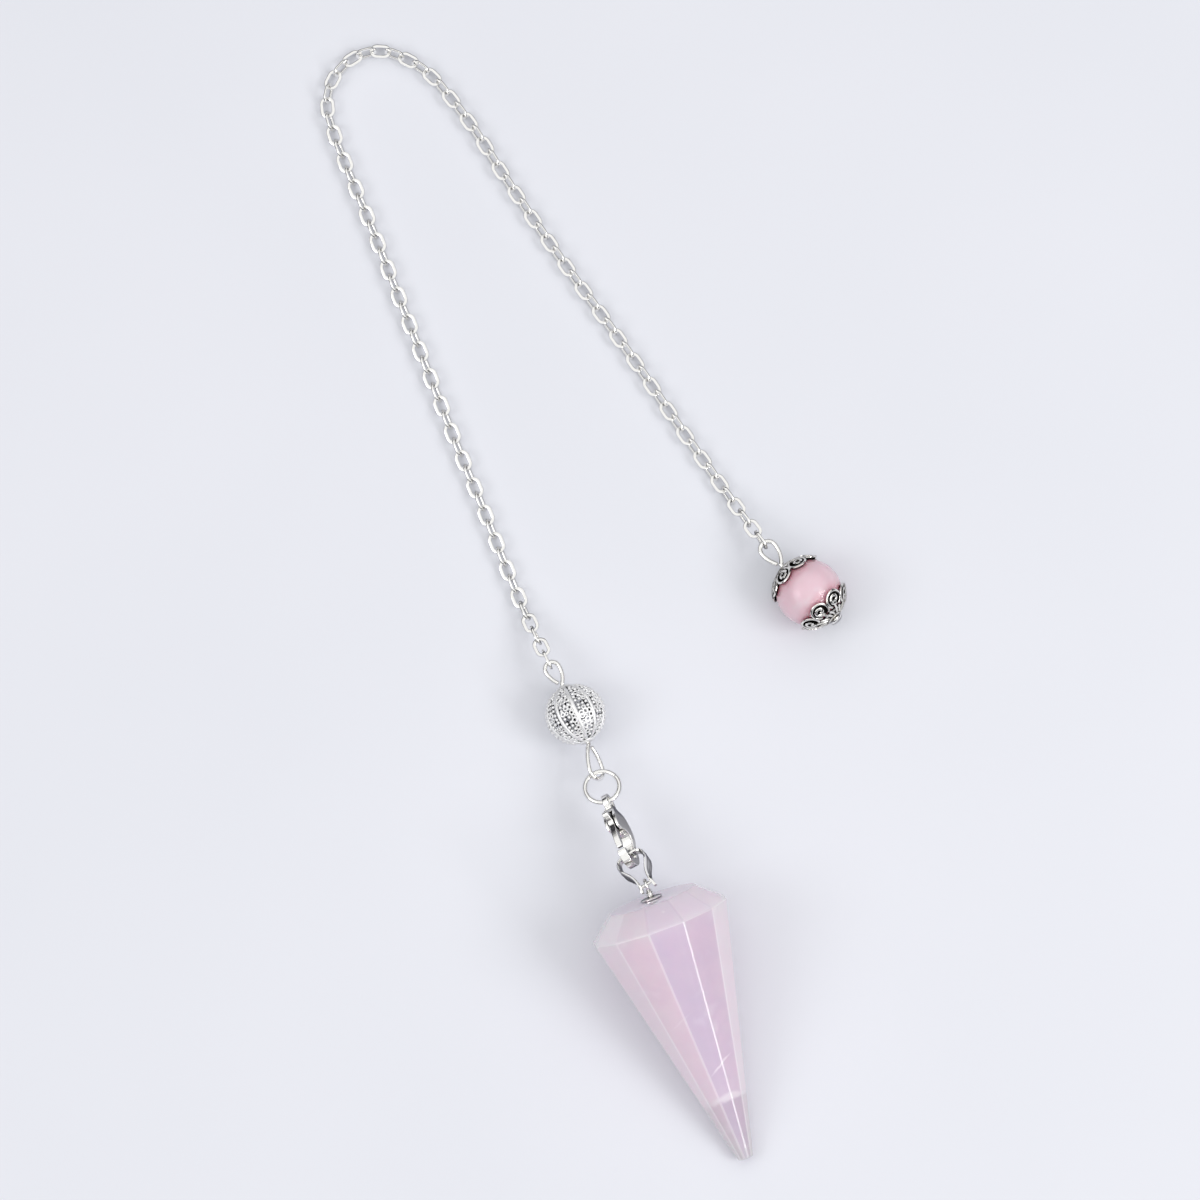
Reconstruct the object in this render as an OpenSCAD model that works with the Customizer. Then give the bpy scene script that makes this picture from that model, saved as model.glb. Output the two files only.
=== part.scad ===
// Dowsing pendulum pendant: a faceted rose quartz point on a bail and lobster clasp,
// a pierced silver bead, a cable chain and a capped rose quartz bead at the free end.
// It is drawn as it lies on a flat surface at z = 0. Lengths are in millimetres.

/* [Stone] */
// Girdle of the stone, across its corners
stone_d = 21.4; // [17:0.1:26]
// Length of the tapering part, girdle to tip
taper_l = 37.8; // [30:0.1:48]
// Height of the crown, girdle to table
crown_h = 3.4; // [2:0.1:5]
// Table of the stone, across its corners
table_d = 13.6; // [9:0.1:16]
// Flat tip of the stone, across its corners
tip_d = 2.4; // [1.2:0.1:4]
// Number of facets round the stone
stone_sides = 12; // [8:2:16]

/* [Peg cap] */
// Diameter of the flange glued on the table
flange_d = 3.2; // [2.4:0.1:4.5]
// Thickness of the flange
flange_t = 0.5; // [0.3:0.05:0.9]
// Diameter of the collar above the flange
collar_d = 1.15; // [0.9:0.05:1.6]
// Height of the collar above the flange
collar_h = 0.8; // [0.5:0.05:1.2]
// Diameter of the peg inside the stone
peg_d = 1.2; // [0.8:0.05:1.8]
// Length of the peg inside the stone
peg_l = 3; // [2:0.1:5]
// Hole of the cap's eye
eye_hole_d = 1.2; // [1.1:0.05:1.6]
// Wire thickness of the cap's eye
eye_wire = 0.5; // [0.4:0.05:0.7]

/* [Bail] */
// Length of the bail from the fold to the prongs
bail_hold = 5.3; // [4.8:0.1:6.6]
// How far the leaf points reach past the prongs
leaf_reach = 0.9; // [0.5:0.1:1.1]
// Width of the bail's loop
bail_w = 4.7; // [4.2:0.1:6]
// Width of each leaf at its broadest
leaf_w = 3.8; // [3:0.1:5]
// Width of the band at the fold
fold_w = 1.7; // [1.2:0.1:2.1]
// Thickness of the bail's band
band_t = 0.4; // [0.3:0.05:0.5]
// Diameter of the two prongs
prong_d = 0.55; // [0.4:0.05:0.65]

/* [Clasp] */
// Overall length of the clasp
clasp_l = 12.7; // [11:0.1:15]
// Overall width of the clasp
clasp_w = 6; // [5.4:0.1:8]
// Thickness of the clasp's body
clasp_t = 2; // [1.8:0.1:3]
// Thickness of the clasp's hook
hook_t = 1.3; // [1.1:0.05:1.6]
// Outer diameter of the clasp's eye
clasp_eye_d = 2.7; // [2.6:0.05:3.2]
// Hole of the clasp's eye
clasp_eye_hole = 1.75; // [1.65:0.05:1.8]
// Thickness of the clasp's eye
clasp_eye_t = 0.9; // [0.7:0.05:1.1]
// Thickness of the lever
lever_t = 0.9; // [0.7:0.05:0.95]
// Diameter of the lever's pivot pin
pivot_d = 0.7; // [0.5:0.05:0.8]
// How far the lever stands open, in degrees
lever_open = 0; // [0:1:20]

/* [Jump ring] */
// Outer diameter of the jump ring
ring_d = 5.9; // [5:0.1:7]
// Wire thickness of the jump ring
ring_wire = 0.7; // [0.5:0.05:0.8]

/* [Silver bead] */
// Diameter of the pierced bead, over its ribs
bead_d = 9.3; // [8:0.1:12]
// Wall of the pierced bead
bead_wall = 0.5; // [0.4:0.05:0.8]
// Number of plain ribs round the bead
bead_ribs = 10; // [8:1:12]
// Width of a plain rib
rib_w = 0.7; // [0.5:0.05:0.9]
// Height of a rib above the lace
rib_h = 0.15; // [0.1:0.05:0.3]
// Diameter of the larger holes in the lace
lace_hole_d = 0.62; // [0.4:0.02:0.7]

/* [Bead pin] */
// Wire thickness of the bead pin
pin_wire = 0.65; // [0.5:0.05:0.75]
// Length of the chain side loop
upper_loop_l = 4.2; // [3.6:0.1:6]
// Width of the chain side loop
upper_loop_w = 2.9; // [2.6:0.1:3.6]
// Length of the clasp side loop
lower_loop_l = 5.8; // [4.5:0.1:7]
// Width of the clasp side loop
lower_loop_w = 3.4; // [3:0.1:3.9]

/* [Chain] */
// Outer length of a link
link_l = 3.35; // [3:0.05:4]
// Outer width of a link
link_w = 2.25; // [2:0.05:2.8]
// Wire thickness of a link
link_wire = 0.45; // [0.35:0.05:0.5]
// Play between two links
link_play = 0.13; // [0.12:0.01:0.25]

/* [Round bead] */
// Diameter of the round stone bead
round_d = 10; // [8:0.1:13]
// Hole drilled through the round bead
round_hole_d = 1; // [0.9:0.05:1.4]

/* [Bead caps] */
// Diameter of a cap over its petals
cap_d = 9.4; // [7.6:0.1:10]
// Thickness of a cap's sheet
cap_t = 0.4; // [0.3:0.05:0.6]
// Height of the scrolls above the sheet
scroll_h = 0.22; // [0.15:0.01:0.35]
// Width of the scroll wire
scroll_w = 0.3; // [0.2:0.02:0.36]
// Number of petals on a cap
petals = 8; // [6:1:9]

/* [End pin] */
// Wire thickness of the end pin
end_wire = 0.7; // [0.5:0.05:0.8]
// Length of the end pin's loop
end_loop_l = 4.8; // [4:0.1:6]
// Width of the end pin's loop
end_loop_w = 3.2; // [2.8:0.1:4]
// Diameter of the end pin's head
head_d = 2; // [1.5:0.1:2.6]

/* [Layout] */
// Heading of the bead pin, in degrees from straight down the page
pin_heading = 24; // [15:1:35]
// Lean of the clasp side loop against its pin
lower_lean = -8; // [-12:1:8]
// Lean of the chain side loop against its pin
upper_lean = 8; // [-10:1:12]
// Roll of the clasp side loop about its length
lower_roll = -45; // [-65:1:-35]
// Roll of the chain side loop about its length
upper_roll = 6; // [3:1:20]
// Heading of the jump ring
ring_heading = 20; // [12:1:28]
// Heading of the clasp
clasp_heading = 20; // [14:1:30]
// Lean of the clasp's lever side from upright
clasp_lean = 20; // [5:1:30]
// Heading of the bail
bail_heading = 30; // [18:1:36]
// Lean of the bail from upright
bail_lean = 8; // [0:1:20]
// Heading of the stone
stone_heading = 20.5; // [12:0.5:30]
// Roll of the cap's eye about the stone's length
eye_roll = 5; // [0:1:20]
// Heading of the end pin
end_heading = 44; // [35:1:55]
// Lean of the end pin's loop against its pin
end_lean = -6; // [-12:1:6]
// Clear gap between fittings that hang in each other
fit_gap = 0.23; // [0.2:0.01:0.3]

/* [Hidden] */
$fn = 48;

// Colours
quartz = [0.87, 0.78, 0.85];
bead_pink = [0.90, 0.72, 0.78];
silver = [0.84, 0.85, 0.87];
oxidised = [0.62, 0.62, 0.64];

// Middle of the silver bead and of the round bead on the surface
bead_at = [-3.7, -17.9];
round_at = [31.5, 0.6];

// Route of the chain over the surface, from the silver bead round to the end loop
route = [[-10.8, -3], [-14.5, 6], [-18, 15], [-21.5, 23.5], [-25, 32.5], [-28.5, 41.5], [-32, 50.5],
         [-35.5, 59.5], [-39.2, 68.5], [-41.2, 74], [-42, 78], [-40.8, 82], [-37.8, 85], [-34, 86],
         [-30.5, 85], [-26.5, 82.5], [-23, 78.5], [-19, 73], [-14.9, 66.4], [-9.5, 58.2], [-4, 50.2],
         [1.5, 42.5], [7, 34.5], [12.3, 26.5], [17.8, 18.6]];

// Stretch over which the chain comes down from a loop
drop_run = 13;

// A clear gap for pieces that are seated on one another, and room for those that lie askew in each other
seat_gap = 0.08;
roll_room = 0.1;
overlap = 0.2;

// Unit vector for a heading from straight down the page and a slope up from the surface
function way(heading, slope) = [sin(heading) * cos(slope), -cos(heading) * cos(slope), sin(slope)];

// Point on a smooth curve between b and c
function spline(a, b, c, d, t) =
    0.5 * (2 * b + (c - a) * t + (2 * a - 5 * b + 4 * c - d) * t * t + (3 * b - a - 3 * c + d) * t * t * t);

// Smooth open curve through all the points, ends included
function smooth(p, steps) = [
    for (i = [0:len(p) - 2])
        let (a = i > 0 ? p[i - 1] : 2 * p[0] - p[1])
        let (d = i < len(p) - 2 ? p[i + 2] : 2 * p[i + 1] - p[i])
            for (k = [0:steps - 1]) spline(a, p[i], p[i + 1], d, k / steps),
    p[len(p) - 1]
];

// Distance run along a line of points, at each point
function run(p) = [
    for (i = 0, s = 0; i < len(p); s = s + norm(p[min(i + 1, len(p) - 1)] - p[i]), i = i + 1) s
];

// Points of a table given as shares of a length and a width
function sized(table, length, width) = [for (row = table) [row[0] * length, row[1] * width]];
function mirrored(p) = [for (i = [len(p) - 1:-1:0]) [p[i][0], -p[i][1]]];

// Puts a piece that is drawn along +x at a place, with its heading, slope and roll
module lay(place, heading, slope, roll = 0) {
    translate(place - centre) rotate([roll, -slope, heading - 90]) children();
}

// Stone
corner_half = 180 / stone_sides;
girdle_flat = stone_d / 2 * cos(corner_half);
tip_flat = tip_d / 2 * cos(corner_half);
stone_slope = atan((girdle_flat - tip_flat) / taper_l);
eye_rise = flange_t + collar_h + eye_hole_d / 2 + eye_wire / 2;
eye_to_tip = eye_rise + crown_h + taper_l;
eye_z = (tip_flat + (girdle_flat - tip_flat) * eye_to_tip / taper_l) * cos(stone_slope);

// Loops of the bead pin
loop_stem = 0.3;
bead_base = bead_d / 2 + loop_stem;
bead_middle = [bead_at[0], bead_at[1], bead_d / 2];
lower_base = bead_middle + way(pin_heading, 0) * bead_base;
upper_base = bead_middle - way(pin_heading, 0) * bead_base;
lower_tip = lower_base + way(pin_heading + lower_lean, 0) * (lower_loop_l - pin_wire / 2);
upper_tip = upper_base - way(pin_heading + upper_lean, 0) * (upper_loop_l - pin_wire / 2);

// Clasp, along x from the middle of its eye
clasp_reach = clasp_l - clasp_eye_d / 2;
hook_bar = clasp_reach * 0.12;
hook_inner = clasp_reach - hook_bar;
fold_gap = fit_gap + 1.5 * roll_room;
pivot = [clasp_reach * 0.37, clasp_w * 0.185];
pivot_play = 0.06;
lever_play = 0.15;

// How the fittings climb from the bead to the eye of the stone's cap
ring_r = (ring_d - ring_wire) / 2;
ring_back = pin_wire / 2 + ring_wire / 2 + fit_gap + roll_room;
clasp_slack = clasp_eye_hole / 2 - ring_wire / 2 - fit_gap;
eye_slack = eye_hole_d / 2 - prong_d / 2 - fit_gap * 0.6;
climb = 2 * ring_r + clasp_slack + hook_inner - fold_gap + bail_hold;
fit_slope = asin((eye_z + sin(stone_slope) * eye_slack - bead_middle[2]) / climb);
ring_middle = lower_tip - way(ring_heading, 0) * ring_back + way(ring_heading, fit_slope) * ring_r;
ring_end = ring_middle + way(ring_heading, fit_slope) * ring_r;
clasp_eye = ring_end + way(clasp_heading, fit_slope) * clasp_slack;
fold_at = clasp_eye + way(clasp_heading, fit_slope) * (hook_inner - fold_gap);
prongs_at = fold_at + way(bail_heading, fit_slope) * bail_hold;
eye_at = prongs_at + way(stone_heading, -stone_slope) * eye_slack;

// Caps of the round bead
cap_inner = round_d / 2 + seat_gap;
cap_outer = cap_inner + cap_t;
boss_outer = cap_outer + scroll_h;
petal_r = cap_d * 0.16;
petal_angle = asin(cap_d / 2 / cap_outer) - asin(petal_r / cap_outer);
scroll_r = petal_r - scroll_w * 0.9;

// Round bead, leaning until two scrolls of the cap next to the loop are close above the surface
petal_down = [cos(petal_angle), sin(petal_angle) * cos(180 / petals)];
scroll_down = acos(round_d / 2 / boss_outer) + asin((scroll_r + scroll_w / 2) / cap_outer);
end_slope = max(0, asin(min(1, cos(scroll_down) / norm(petal_down))) - atan(petal_down[1] / petal_down[0]) - 2.5);
round_middle = [round_at[0], round_at[1], round_d / 2];
end_base = boss_outer + loop_stem;
end_loop_base = round_middle - way(end_heading, end_slope) * end_base;
end_tip = end_loop_base - way(end_heading + end_lean, end_slope) * (end_loop_l - end_wire / 2);

// Chain
link_a = (link_l - link_wire) / 2;
link_b = (link_w - link_wire) / 2;
link_straight = link_a - link_b;
open_roll = -14;
stand_roll = 66;
end_twist = 18;
rest_z = link_b * sin(stand_roll) + link_wire / 2;
chain_start = upper_tip + way(pin_heading + upper_lean, 0) * (pin_wire / 2 + fit_gap - link_play / 2);
chain_end = end_tip + way(end_heading + end_lean, end_slope) * (end_wire / 2 + fit_gap - link_play / 2);
flat_line = smooth(concat([[chain_start[0], chain_start[1]]], route, [[chain_end[0], chain_end[1]]]), 8);
flat_run = run(flat_line);
flat_total = flat_run[len(flat_run) - 1];
function fade(s) = max(0, 1 - s / drop_run);
function drop(s) = pow(fade(s), 2) * (2 - fade(s));
function height(s) =
    rest_z + (chain_start[2] - rest_z) * drop(s) + (chain_end[2] - rest_z) * drop(flat_total - s);
line = [for (i = [0:len(flat_line) - 1]) [flat_line[i][0], flat_line[i][1], height(flat_run[i])]];
line_run = run(line);
total = line_run[len(line_run) - 1];
links = 2 * ceil((total / (link_l - 2 * link_wire - link_play) - 1) / 2) + 1;
pitch = total / links;
joints = [
    for (k = [0:links])
        [for (axis = [0:2]) lookup(k * pitch, [for (i = [0:len(line) - 1]) [line_run[i], line[i][axis]]])]
];
long_links = floor(links * 0.52);

// Roll of a link: every other one lies open, and those between and next to a loop stand
function link_turn(k) =
    (k % 2 == 0 ? stand_roll : open_roll) + end_twist * (fade(k * pitch) + fade((links - 1 - k) * pitch));

// Middle of the whole layout, which becomes the origin
left_edge = min([for (p = joints) p[0]]) - link_w / 2;
right_edge = round_middle[0] + cap_outer;
top_edge = max([for (p = joints) p[1]]) + link_w / 2;
bottom_edge = eye_at[1] - cos(stone_heading) * cos(stone_slope) * eye_to_tip - tip_flat;
centre = [(left_edge + right_edge) / 2, (top_edge + bottom_edge) / 2, 0];

// Outline of the bail's loop: share of its length from the fold, share of its half width
bail_table = [[0, 0], [0.005, 0.55], [0.08, 0.88], [0.23, 1], [0.37, 0.98], [0.48, 0.84], [0.6, 0.64],
              [0.72, 0.52], [0.84, 0.5], [1, 0.56]];

// Outline of a leaf: share of its length from the fold, share between fold width and leaf width
leaf_table = [[0, 0], [0.12, 0.15], [0.3, 0.75], [0.45, 1], [0.6, 0.85], [0.8, 0.2], [0.93, -0.3], [1, -0.5]];

// Outside of the clasp, from the back of its neck round the far end to the tip of the hook
clasp_back = [[0.08, -0.13], [0.2, -0.3], [0.38, -0.44], [0.6, -0.48], [0.8, -0.41], [0.94, -0.25],
              [1, 0.02], [0.965, 0.27], [0.87, 0.41], [0.8, 0.44]];

// Inside of the clasp, from the tip of the hook round the opening to the front of the body
clasp_inside = [[0.795, 0.31], [0.855, 0.24], [0.876, 0.12], [0.878, -0.06], [0.85, -0.2], [0.74, -0.285],
                [0.6, -0.3], [0.5, -0.2], [0.47, -0.02], [0.48, 0.2]];

// Outside of the clasp's body on the lever side, back to the neck
clasp_front = [[0.46, 0.36], [0.38, 0.4], [0.28, 0.37], [0.16, 0.25], [0.08, 0.13]];

// Half thickness of the clasp along its length, as shares between the eye, the body and the hook
clasp_side = [[-0.15, 0], [0.05, 0], [0.2, 0.85], [0.3, 1], [0.44, 1], [0.56, 0.7]];

// Outline of the lever, from its thumb tab along the arm to its tip and back
lever_table = [[0.27, 0.3], [0.24, 0.5], [0.255, 0.6], [0.3, 0.61], [0.34, 0.53], [0.4, 0.42], [0.52, 0.46],
               [0.64, 0.475], [0.762, 0.45]];
lever_inside = [[0.762, 0.33], [0.68, 0.325], [0.56, 0.29], [0.47, 0.2], [0.44, 0.12], [0.37, 0.06],
                [0.3, 0.12], [0.28, 0.2], [0.27, 0.3]];

// Faceted stone, drawn with its tip down, and the blind hole for its peg
module stone() {
    stone_h = crown_h + taper_l;
    rings = [[tip_d / 2, 0], [stone_d / 2, taper_l], [table_d / 2, stone_h]];
    corners = [
        for (ring = rings, i = [0:stone_sides - 1])
            let (turn = (i + 0.5) * 360 / stone_sides)
                [ring[0] * cos(turn), ring[0] * sin(turn), ring[1]]
    ];
    last = 2 * stone_sides;
    sides = [
        for (level = [0, stone_sides], i = [0:stone_sides - 1])
            let (j = (i + 1) % stone_sides)
                [level + i, level + stone_sides + i, level + stone_sides + j, level + j]
    ];
    bottom = [for (i = [0:stone_sides - 1]) i];
    top = [for (i = [stone_sides - 1:-1:0]) last + i];
    color(quartz) lay(eye_at, stone_heading, -stone_slope) translate([eye_to_tip, 0, 0])
        rotate([0, -90, 0]) difference() {
            polyhedron(points = corners, faces = concat(sides, [bottom, top]));
            translate([0, 0, stone_h - peg_l - seat_gap])
                cylinder(h = peg_l + 1, d = peg_d + 2 * seat_gap);
        }
}

// Flange, ribbed collar, eye and glued peg of the stone's cap
module peg_cap() {
    ribs = 2;
    color(silver) lay(eye_at, stone_heading, -stone_slope) {
        rotate([eye_roll + 90, 0, 0])
            rotate_extrude() translate([(eye_hole_d + eye_wire) / 2, 0]) circle(d = eye_wire);
        rotate([0, 90, 0]) {
            translate([0, 0, (eye_hole_d + eye_wire) / 2 - eye_wire / 4])
                cylinder(h = collar_h + eye_wire / 2, d = collar_d * 0.7);
            for (i = [0:ribs - 1])
                translate([0, 0, eye_rise - flange_t - collar_h * (0.35 + 0.5 * i)])
                    cylinder(h = collar_h * 0.28, d = collar_d);
            translate([0, 0, eye_rise - flange_t])
                cylinder(h = flange_t - seat_gap, d = flange_d);
            translate([0, 0, eye_rise - overlap])
                cylinder(h = peg_l + overlap - seat_gap, d = peg_d);
        }
    }
}

// Folded leaf band with two prongs that enter the cap's eye
module bail() {
    length = bail_hold + leaf_reach + band_t;
    outer = smooth(sized(bail_table, length, bail_w / 2), 5);
    inner = [
        for (i = [0:len(outer) - 1])
            let (along = outer[min(i + 1, len(outer) - 1)] - outer[max(i - 1, 0)])
            let (side = i == 0 ? [1, 0] : [along[1], -along[0]] / norm(along))
                outer[i] + side * band_t
    ];
    leaf = smooth([
        for (row = leaf_table) [row[0] * length, (fold_w + row[1] * (leaf_w - fold_w)) / 2]
    ], 4);
    reach = lookup(bail_hold, inner);
    color(silver) lay(fold_at, bail_heading, fit_slope, bail_lean) {
        translate([-band_t, 0, 0]) intersection() {
            linear_extrude(leaf_w + 1, center = true)
                polygon(concat(outer, [for (i = [len(inner) - 1:-1:0]) inner[i]],
                               [for (i = [1:len(inner) - 1]) [inner[i][0], -inner[i][1]]], mirrored(outer)));
            rotate([90, 0, 0]) linear_extrude(bail_w + 1, center = true)
                polygon(concat(leaf, mirrored(leaf)));
        }
        for (side = [-1, 1])
            translate([bail_hold, side * seat_gap, 0]) rotate([-90 * side, 0, 0])
                cylinder(h = reach + band_t / 2 - seat_gap, d = prong_d);
    }
}

// Outline table of the clasp at its size
function clasp_points(table) = sized(table, clasp_reach, clasp_w);

// Hook, slotted body, eye and riveted pivot pin of the clasp
module clasp_body() {
    half = [
        for (row = clasp_side)
            let (low = row[0] < 0.5 ? clasp_eye_t : hook_t)
                [row[0] * clasp_reach, (low + row[1] * (clasp_t - low)) / 2]
    ];
    side = concat(smooth(half, 4), [[clasp_reach * 0.66, hook_t / 2], [clasp_reach + 1, hook_t / 2]]);
    slot_w = lever_t + 2 * lever_play;
    color(silver) lay(clasp_eye, clasp_heading, fit_slope, 90 + clasp_lean) {
        difference() {
            intersection() {
                linear_extrude(clasp_t + 1, center = true) union() {
                    polygon(concat(smooth(clasp_points(clasp_back), 4), smooth(clasp_points(clasp_inside), 4),
                                   smooth(clasp_points(clasp_front), 4)));
                    circle(d = clasp_eye_d);
                }
                rotate([90, 0, 0]) linear_extrude(2 * clasp_w, center = true)
                    polygon(concat(side, mirrored(side)));
            }
            cylinder(h = clasp_t + 1, d = clasp_eye_hole, center = true);
            translate([clasp_reach * 0.2, -clasp_w * 0.06, -slot_w / 2])
                cube([clasp_reach * 0.36, clasp_w, slot_w]);
        }
        translate([pivot[0], pivot[1], 0]) cylinder(h = clasp_t - 0.2, d = pivot_d, center = true);
    }
}

// Lever that closes the hook, turning on the pivot pin
module clasp_lever() {
    outline = concat(smooth(clasp_points(lever_table), 4), smooth(clasp_points(lever_inside), 4));
    color(silver) lay(clasp_eye, clasp_heading, fit_slope, 90 + clasp_lean)
        translate([pivot[0], pivot[1], 0]) rotate([0, 0, -lever_open]) translate([-pivot[0], -pivot[1], 0])
            difference() {
                linear_extrude(lever_t, center = true) polygon(outline);
                translate([pivot[0], pivot[1], 0])
                    cylinder(h = lever_t + 1, d = pivot_d + 2 * pivot_play, center = true);
            }
}

// Plain round jump ring
module jump_ring() {
    color(silver) lay(ring_middle, ring_heading, fit_slope)
        rotate_extrude() translate([ring_r, 0]) circle(d = ring_wire);
}

// Egg of bent wire along +x from its base: a half circle and two bowed legs, one cut short of the base
module wire_loop(length, width, wire) {
    r = (width - wire) / 2;
    middle = length - width / 2;
    bow_r = (pow(middle, 2) + pow(r, 2)) / (2 * r);
    leg = asin(middle / bow_r);
    short = 1.1 * wire * 180 / (PI * bow_r);
    translate([middle, 0, 0]) {
        rotate([0, 0, -90]) rotate_extrude(angle = 180) translate([r, 0]) circle(d = wire);
        bowed_leg(leg - short, bow_r, r, wire);
        mirror([0, 1, 0]) bowed_leg(leg, bow_r, r, wire);
    }
}

// Leg of a wire loop, from the end of its half circle towards the base
module bowed_leg(angle, bow_r, r, wire) {
    translate([0, r - bow_r, 0]) rotate([0, 0, 90])
        rotate_extrude(angle = angle) translate([bow_r, 0]) circle(d = wire);
}

// Pin through the pierced bead, with a loop at each end
module bead_pin() {
    color(silver) {
        lay(bead_middle - way(pin_heading, 0) * (bead_base + pin_wire / 4), pin_heading, 0)
            rotate([0, 90, 0]) cylinder(h = 2 * bead_base + pin_wire / 2, d = pin_wire);
        lay(lower_base, pin_heading + lower_lean, 0, lower_roll)
            wire_loop(lower_loop_l, lower_loop_w, pin_wire);
        lay(upper_base, pin_heading + upper_lean + 180, 0, upper_roll)
            wire_loop(upper_loop_l, upper_loop_w, pin_wire);
    }
}

// Hollow sphere, turned so that its seam lies beside the pattern on it
module shell(inner_r, outer_r, seam) {
    rotate([0, 0, seam]) difference() {
        sphere(r = outer_r, $fn = 96);
        sphere(r = inner_r, $fn = 96);
    }
}

// Hollow bead with a collar at each end and plain ribs, pierced between the ribs
module filigree_bead() {
    lace_r = bead_d / 2 - rib_h;
    gore = 360 / bead_ribs;
    collar_r = pin_wire + 0.5;
    lace = [[0, 0.27, 1], [20, 0.27, 1], [39, 0.25, 0.85], [57, 0, 0.85]];
    color(silver) lay(bead_middle, pin_heading, 0) rotate([0, 90, 0]) difference() {
        union() {
            shell(lace_r - bead_wall, lace_r, gore / 2);
            intersection() {
                shell(lace_r - bead_wall / 2, lace_r + rib_h, gore / 2);
                union() {
                    cylinder(r = collar_r, h = bead_d + 2, center = true);
                    for (i = [0:bead_ribs - 1])
                        rotate([0, 0, (i + 0.5) * gore])
                            translate([collar_r - overlap, -rib_w / 2, -lace_r - 1])
                                cube([lace_r + 1, rib_w, 2 * lace_r + 2]);
                }
            }
        }
        cylinder(h = bead_d + 2, d = pin_wire + 4 * seat_gap, center = true);
        for (i = [0:bead_ribs - 1], row = lace) {
            ends = row[0] == 0 ? [1] : [-1, 1];
            sides = row[1] == 0 ? [0] : [-1, 1];
            for (end = ends, side = sides)
                rotate([0, 0, (i + side * row[1]) * gore]) rotate([0, 90 - end * row[0], 0])
                    translate([0, 0, lace_r - 2 * bead_wall])
                        cylinder(h = 4 * bead_wall, d = lace_hole_d * row[2]);
        }
    }
}

// Long round link along x: two half rings and two straight sides
module link() {
    for (end = [0, 180]) rotate([0, 0, end]) {
        translate([link_straight, 0, 0]) rotate([0, 0, -90])
            rotate_extrude(angle = 180) translate([link_b, 0]) circle(d = link_wire);
        translate([-link_straight, link_b, 0]) rotate([0, 90, 0])
            cylinder(h = 2 * link_straight, d = link_wire);
    }
}

// Row of links from one joint of the chain to another, each turned against the last
module chain(first, last) {
    for (k = [first:last]) {
        step = joints[k + 1] - joints[k];
        yaw = atan2(step[1], step[0]);
        slope = asin(step[2] / norm(step));
        translate((joints[k] + joints[k + 1]) / 2 - centre)
            rotate([link_turn(k), -slope, yaw]) link();
    }
}

// Strand from the silver bead to the top of the bend
module chain_long() {
    color(silver) chain(0, long_links - 1);
}

// Strand from the top of the bend to the end pin
module chain_short() {
    color(silver) chain(long_links, links - 1);
}

// Pin through the round bead and its caps, with a loop and a flat head
module end_pin() {
    shank = end_base + boss_outer + seat_gap + end_wire / 4;
    color(silver) lay(round_middle, end_heading, end_slope) {
        translate([-end_base - end_wire / 4, 0, 0]) rotate([0, 90, 0]) cylinder(h = shank + overlap, d = end_wire);
        translate([boss_outer + seat_gap, 0, 0]) rotate([0, 90, 0]) cylinder(h = 0.5, d = head_d);
        translate([-end_base, 0, 0]) rotate([0, 0, 180 + end_lean])
            wire_loop(end_loop_l, end_loop_w, end_wire);
    }
}

// Round stone bead, drilled through
module round_bead() {
    color(bead_pink) lay(round_middle, end_heading, end_slope) rotate([0, 90, 0]) difference() {
        sphere(d = round_d);
        cylinder(h = round_d + 2, d = round_hole_d, center = true);
    }
}

// Puts a piece square on the cap's dome, at a turn round the pole and an angle from it
module on_dome(turn, angle) {
    rotate([0, 0, turn]) rotate([0, angle, 0]) translate([0, 0, cap_inner - 1]) children();
}

// Part of the dome between two radii that lies under the children
module dome(inner_r, outer_r) {
    intersection() {
        shell(inner_r, outer_r, 360 / petals * 0.3);
        union() children();
    }
}

// Half of a short tube, on the side given
module half_tube(r, wall, side) {
    difference() {
        cylinder(h = 3, r = r + wall / 2);
        translate([0, 0, -1]) cylinder(h = 5, r = r - wall / 2);
        translate([-2 * r - wall, side > 0 ? -2 * r - 1 : 0, -1]) cube([4 * r + 2 * wall, 2 * r + 1, 5]);
    }
}

// Flower cap on the bead, dome up along z: pierced petals with a raised scroll on each
module bead_cap() {
    curl_r = scroll_r * 0.48;
    curl_turn = asin((scroll_r - curl_r) / cap_outer) / sin(petal_angle);
    step = 360 / petals;
    difference() {
        union() {
            dome(cap_inner, cap_outer) {
                cylinder(h = round_d, r = cap_outer * sin(petal_angle * 0.9));
                for (i = [0:petals - 1]) on_dome(i * step, petal_angle) cylinder(h = 3, r = petal_r);
            }
            dome(cap_inner + cap_t / 2, boss_outer) {
                cylinder(h = round_d, r = end_wire + scroll_w);
                for (i = [0:petals - 1]) {
                    on_dome(i * step, petal_angle) half_tube(scroll_r, scroll_w, 1);
                    on_dome(i * step + curl_turn, petal_angle) half_tube(curl_r, scroll_w, -1);
                }
            }
        }
        for (i = [0:petals - 1]) {
            on_dome(i * step, petal_angle) cylinder(h = 3, r = curl_r * 0.5);
            on_dome((i + 0.5) * step, petal_angle * 0.62) cylinder(h = 3, r = petal_r * 0.26);
        }
        cylinder(h = round_d, d = end_wire + 4 * seat_gap);
    }
}

// Cap between the round bead and the loop
module bead_cap_top() {
    color(oxidised) lay(round_middle, end_heading, end_slope) rotate([0, -90, 0]) rotate([0, 0, 180 / petals])
        bead_cap();
}

// Cap between the round bead and the pin's head
module bead_cap_bottom() {
    color(oxidised) lay(round_middle, end_heading, end_slope) rotate([0, 90, 0]) rotate([0, 0, 180 / petals])
        bead_cap();
}

stone();
peg_cap();
bail();
clasp_body();
clasp_lever();
jump_ring();
bead_pin();
filigree_bead();
chain_long();
chain_short();
end_pin();
round_bead();
bead_cap_top();
bead_cap_bottom();
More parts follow.
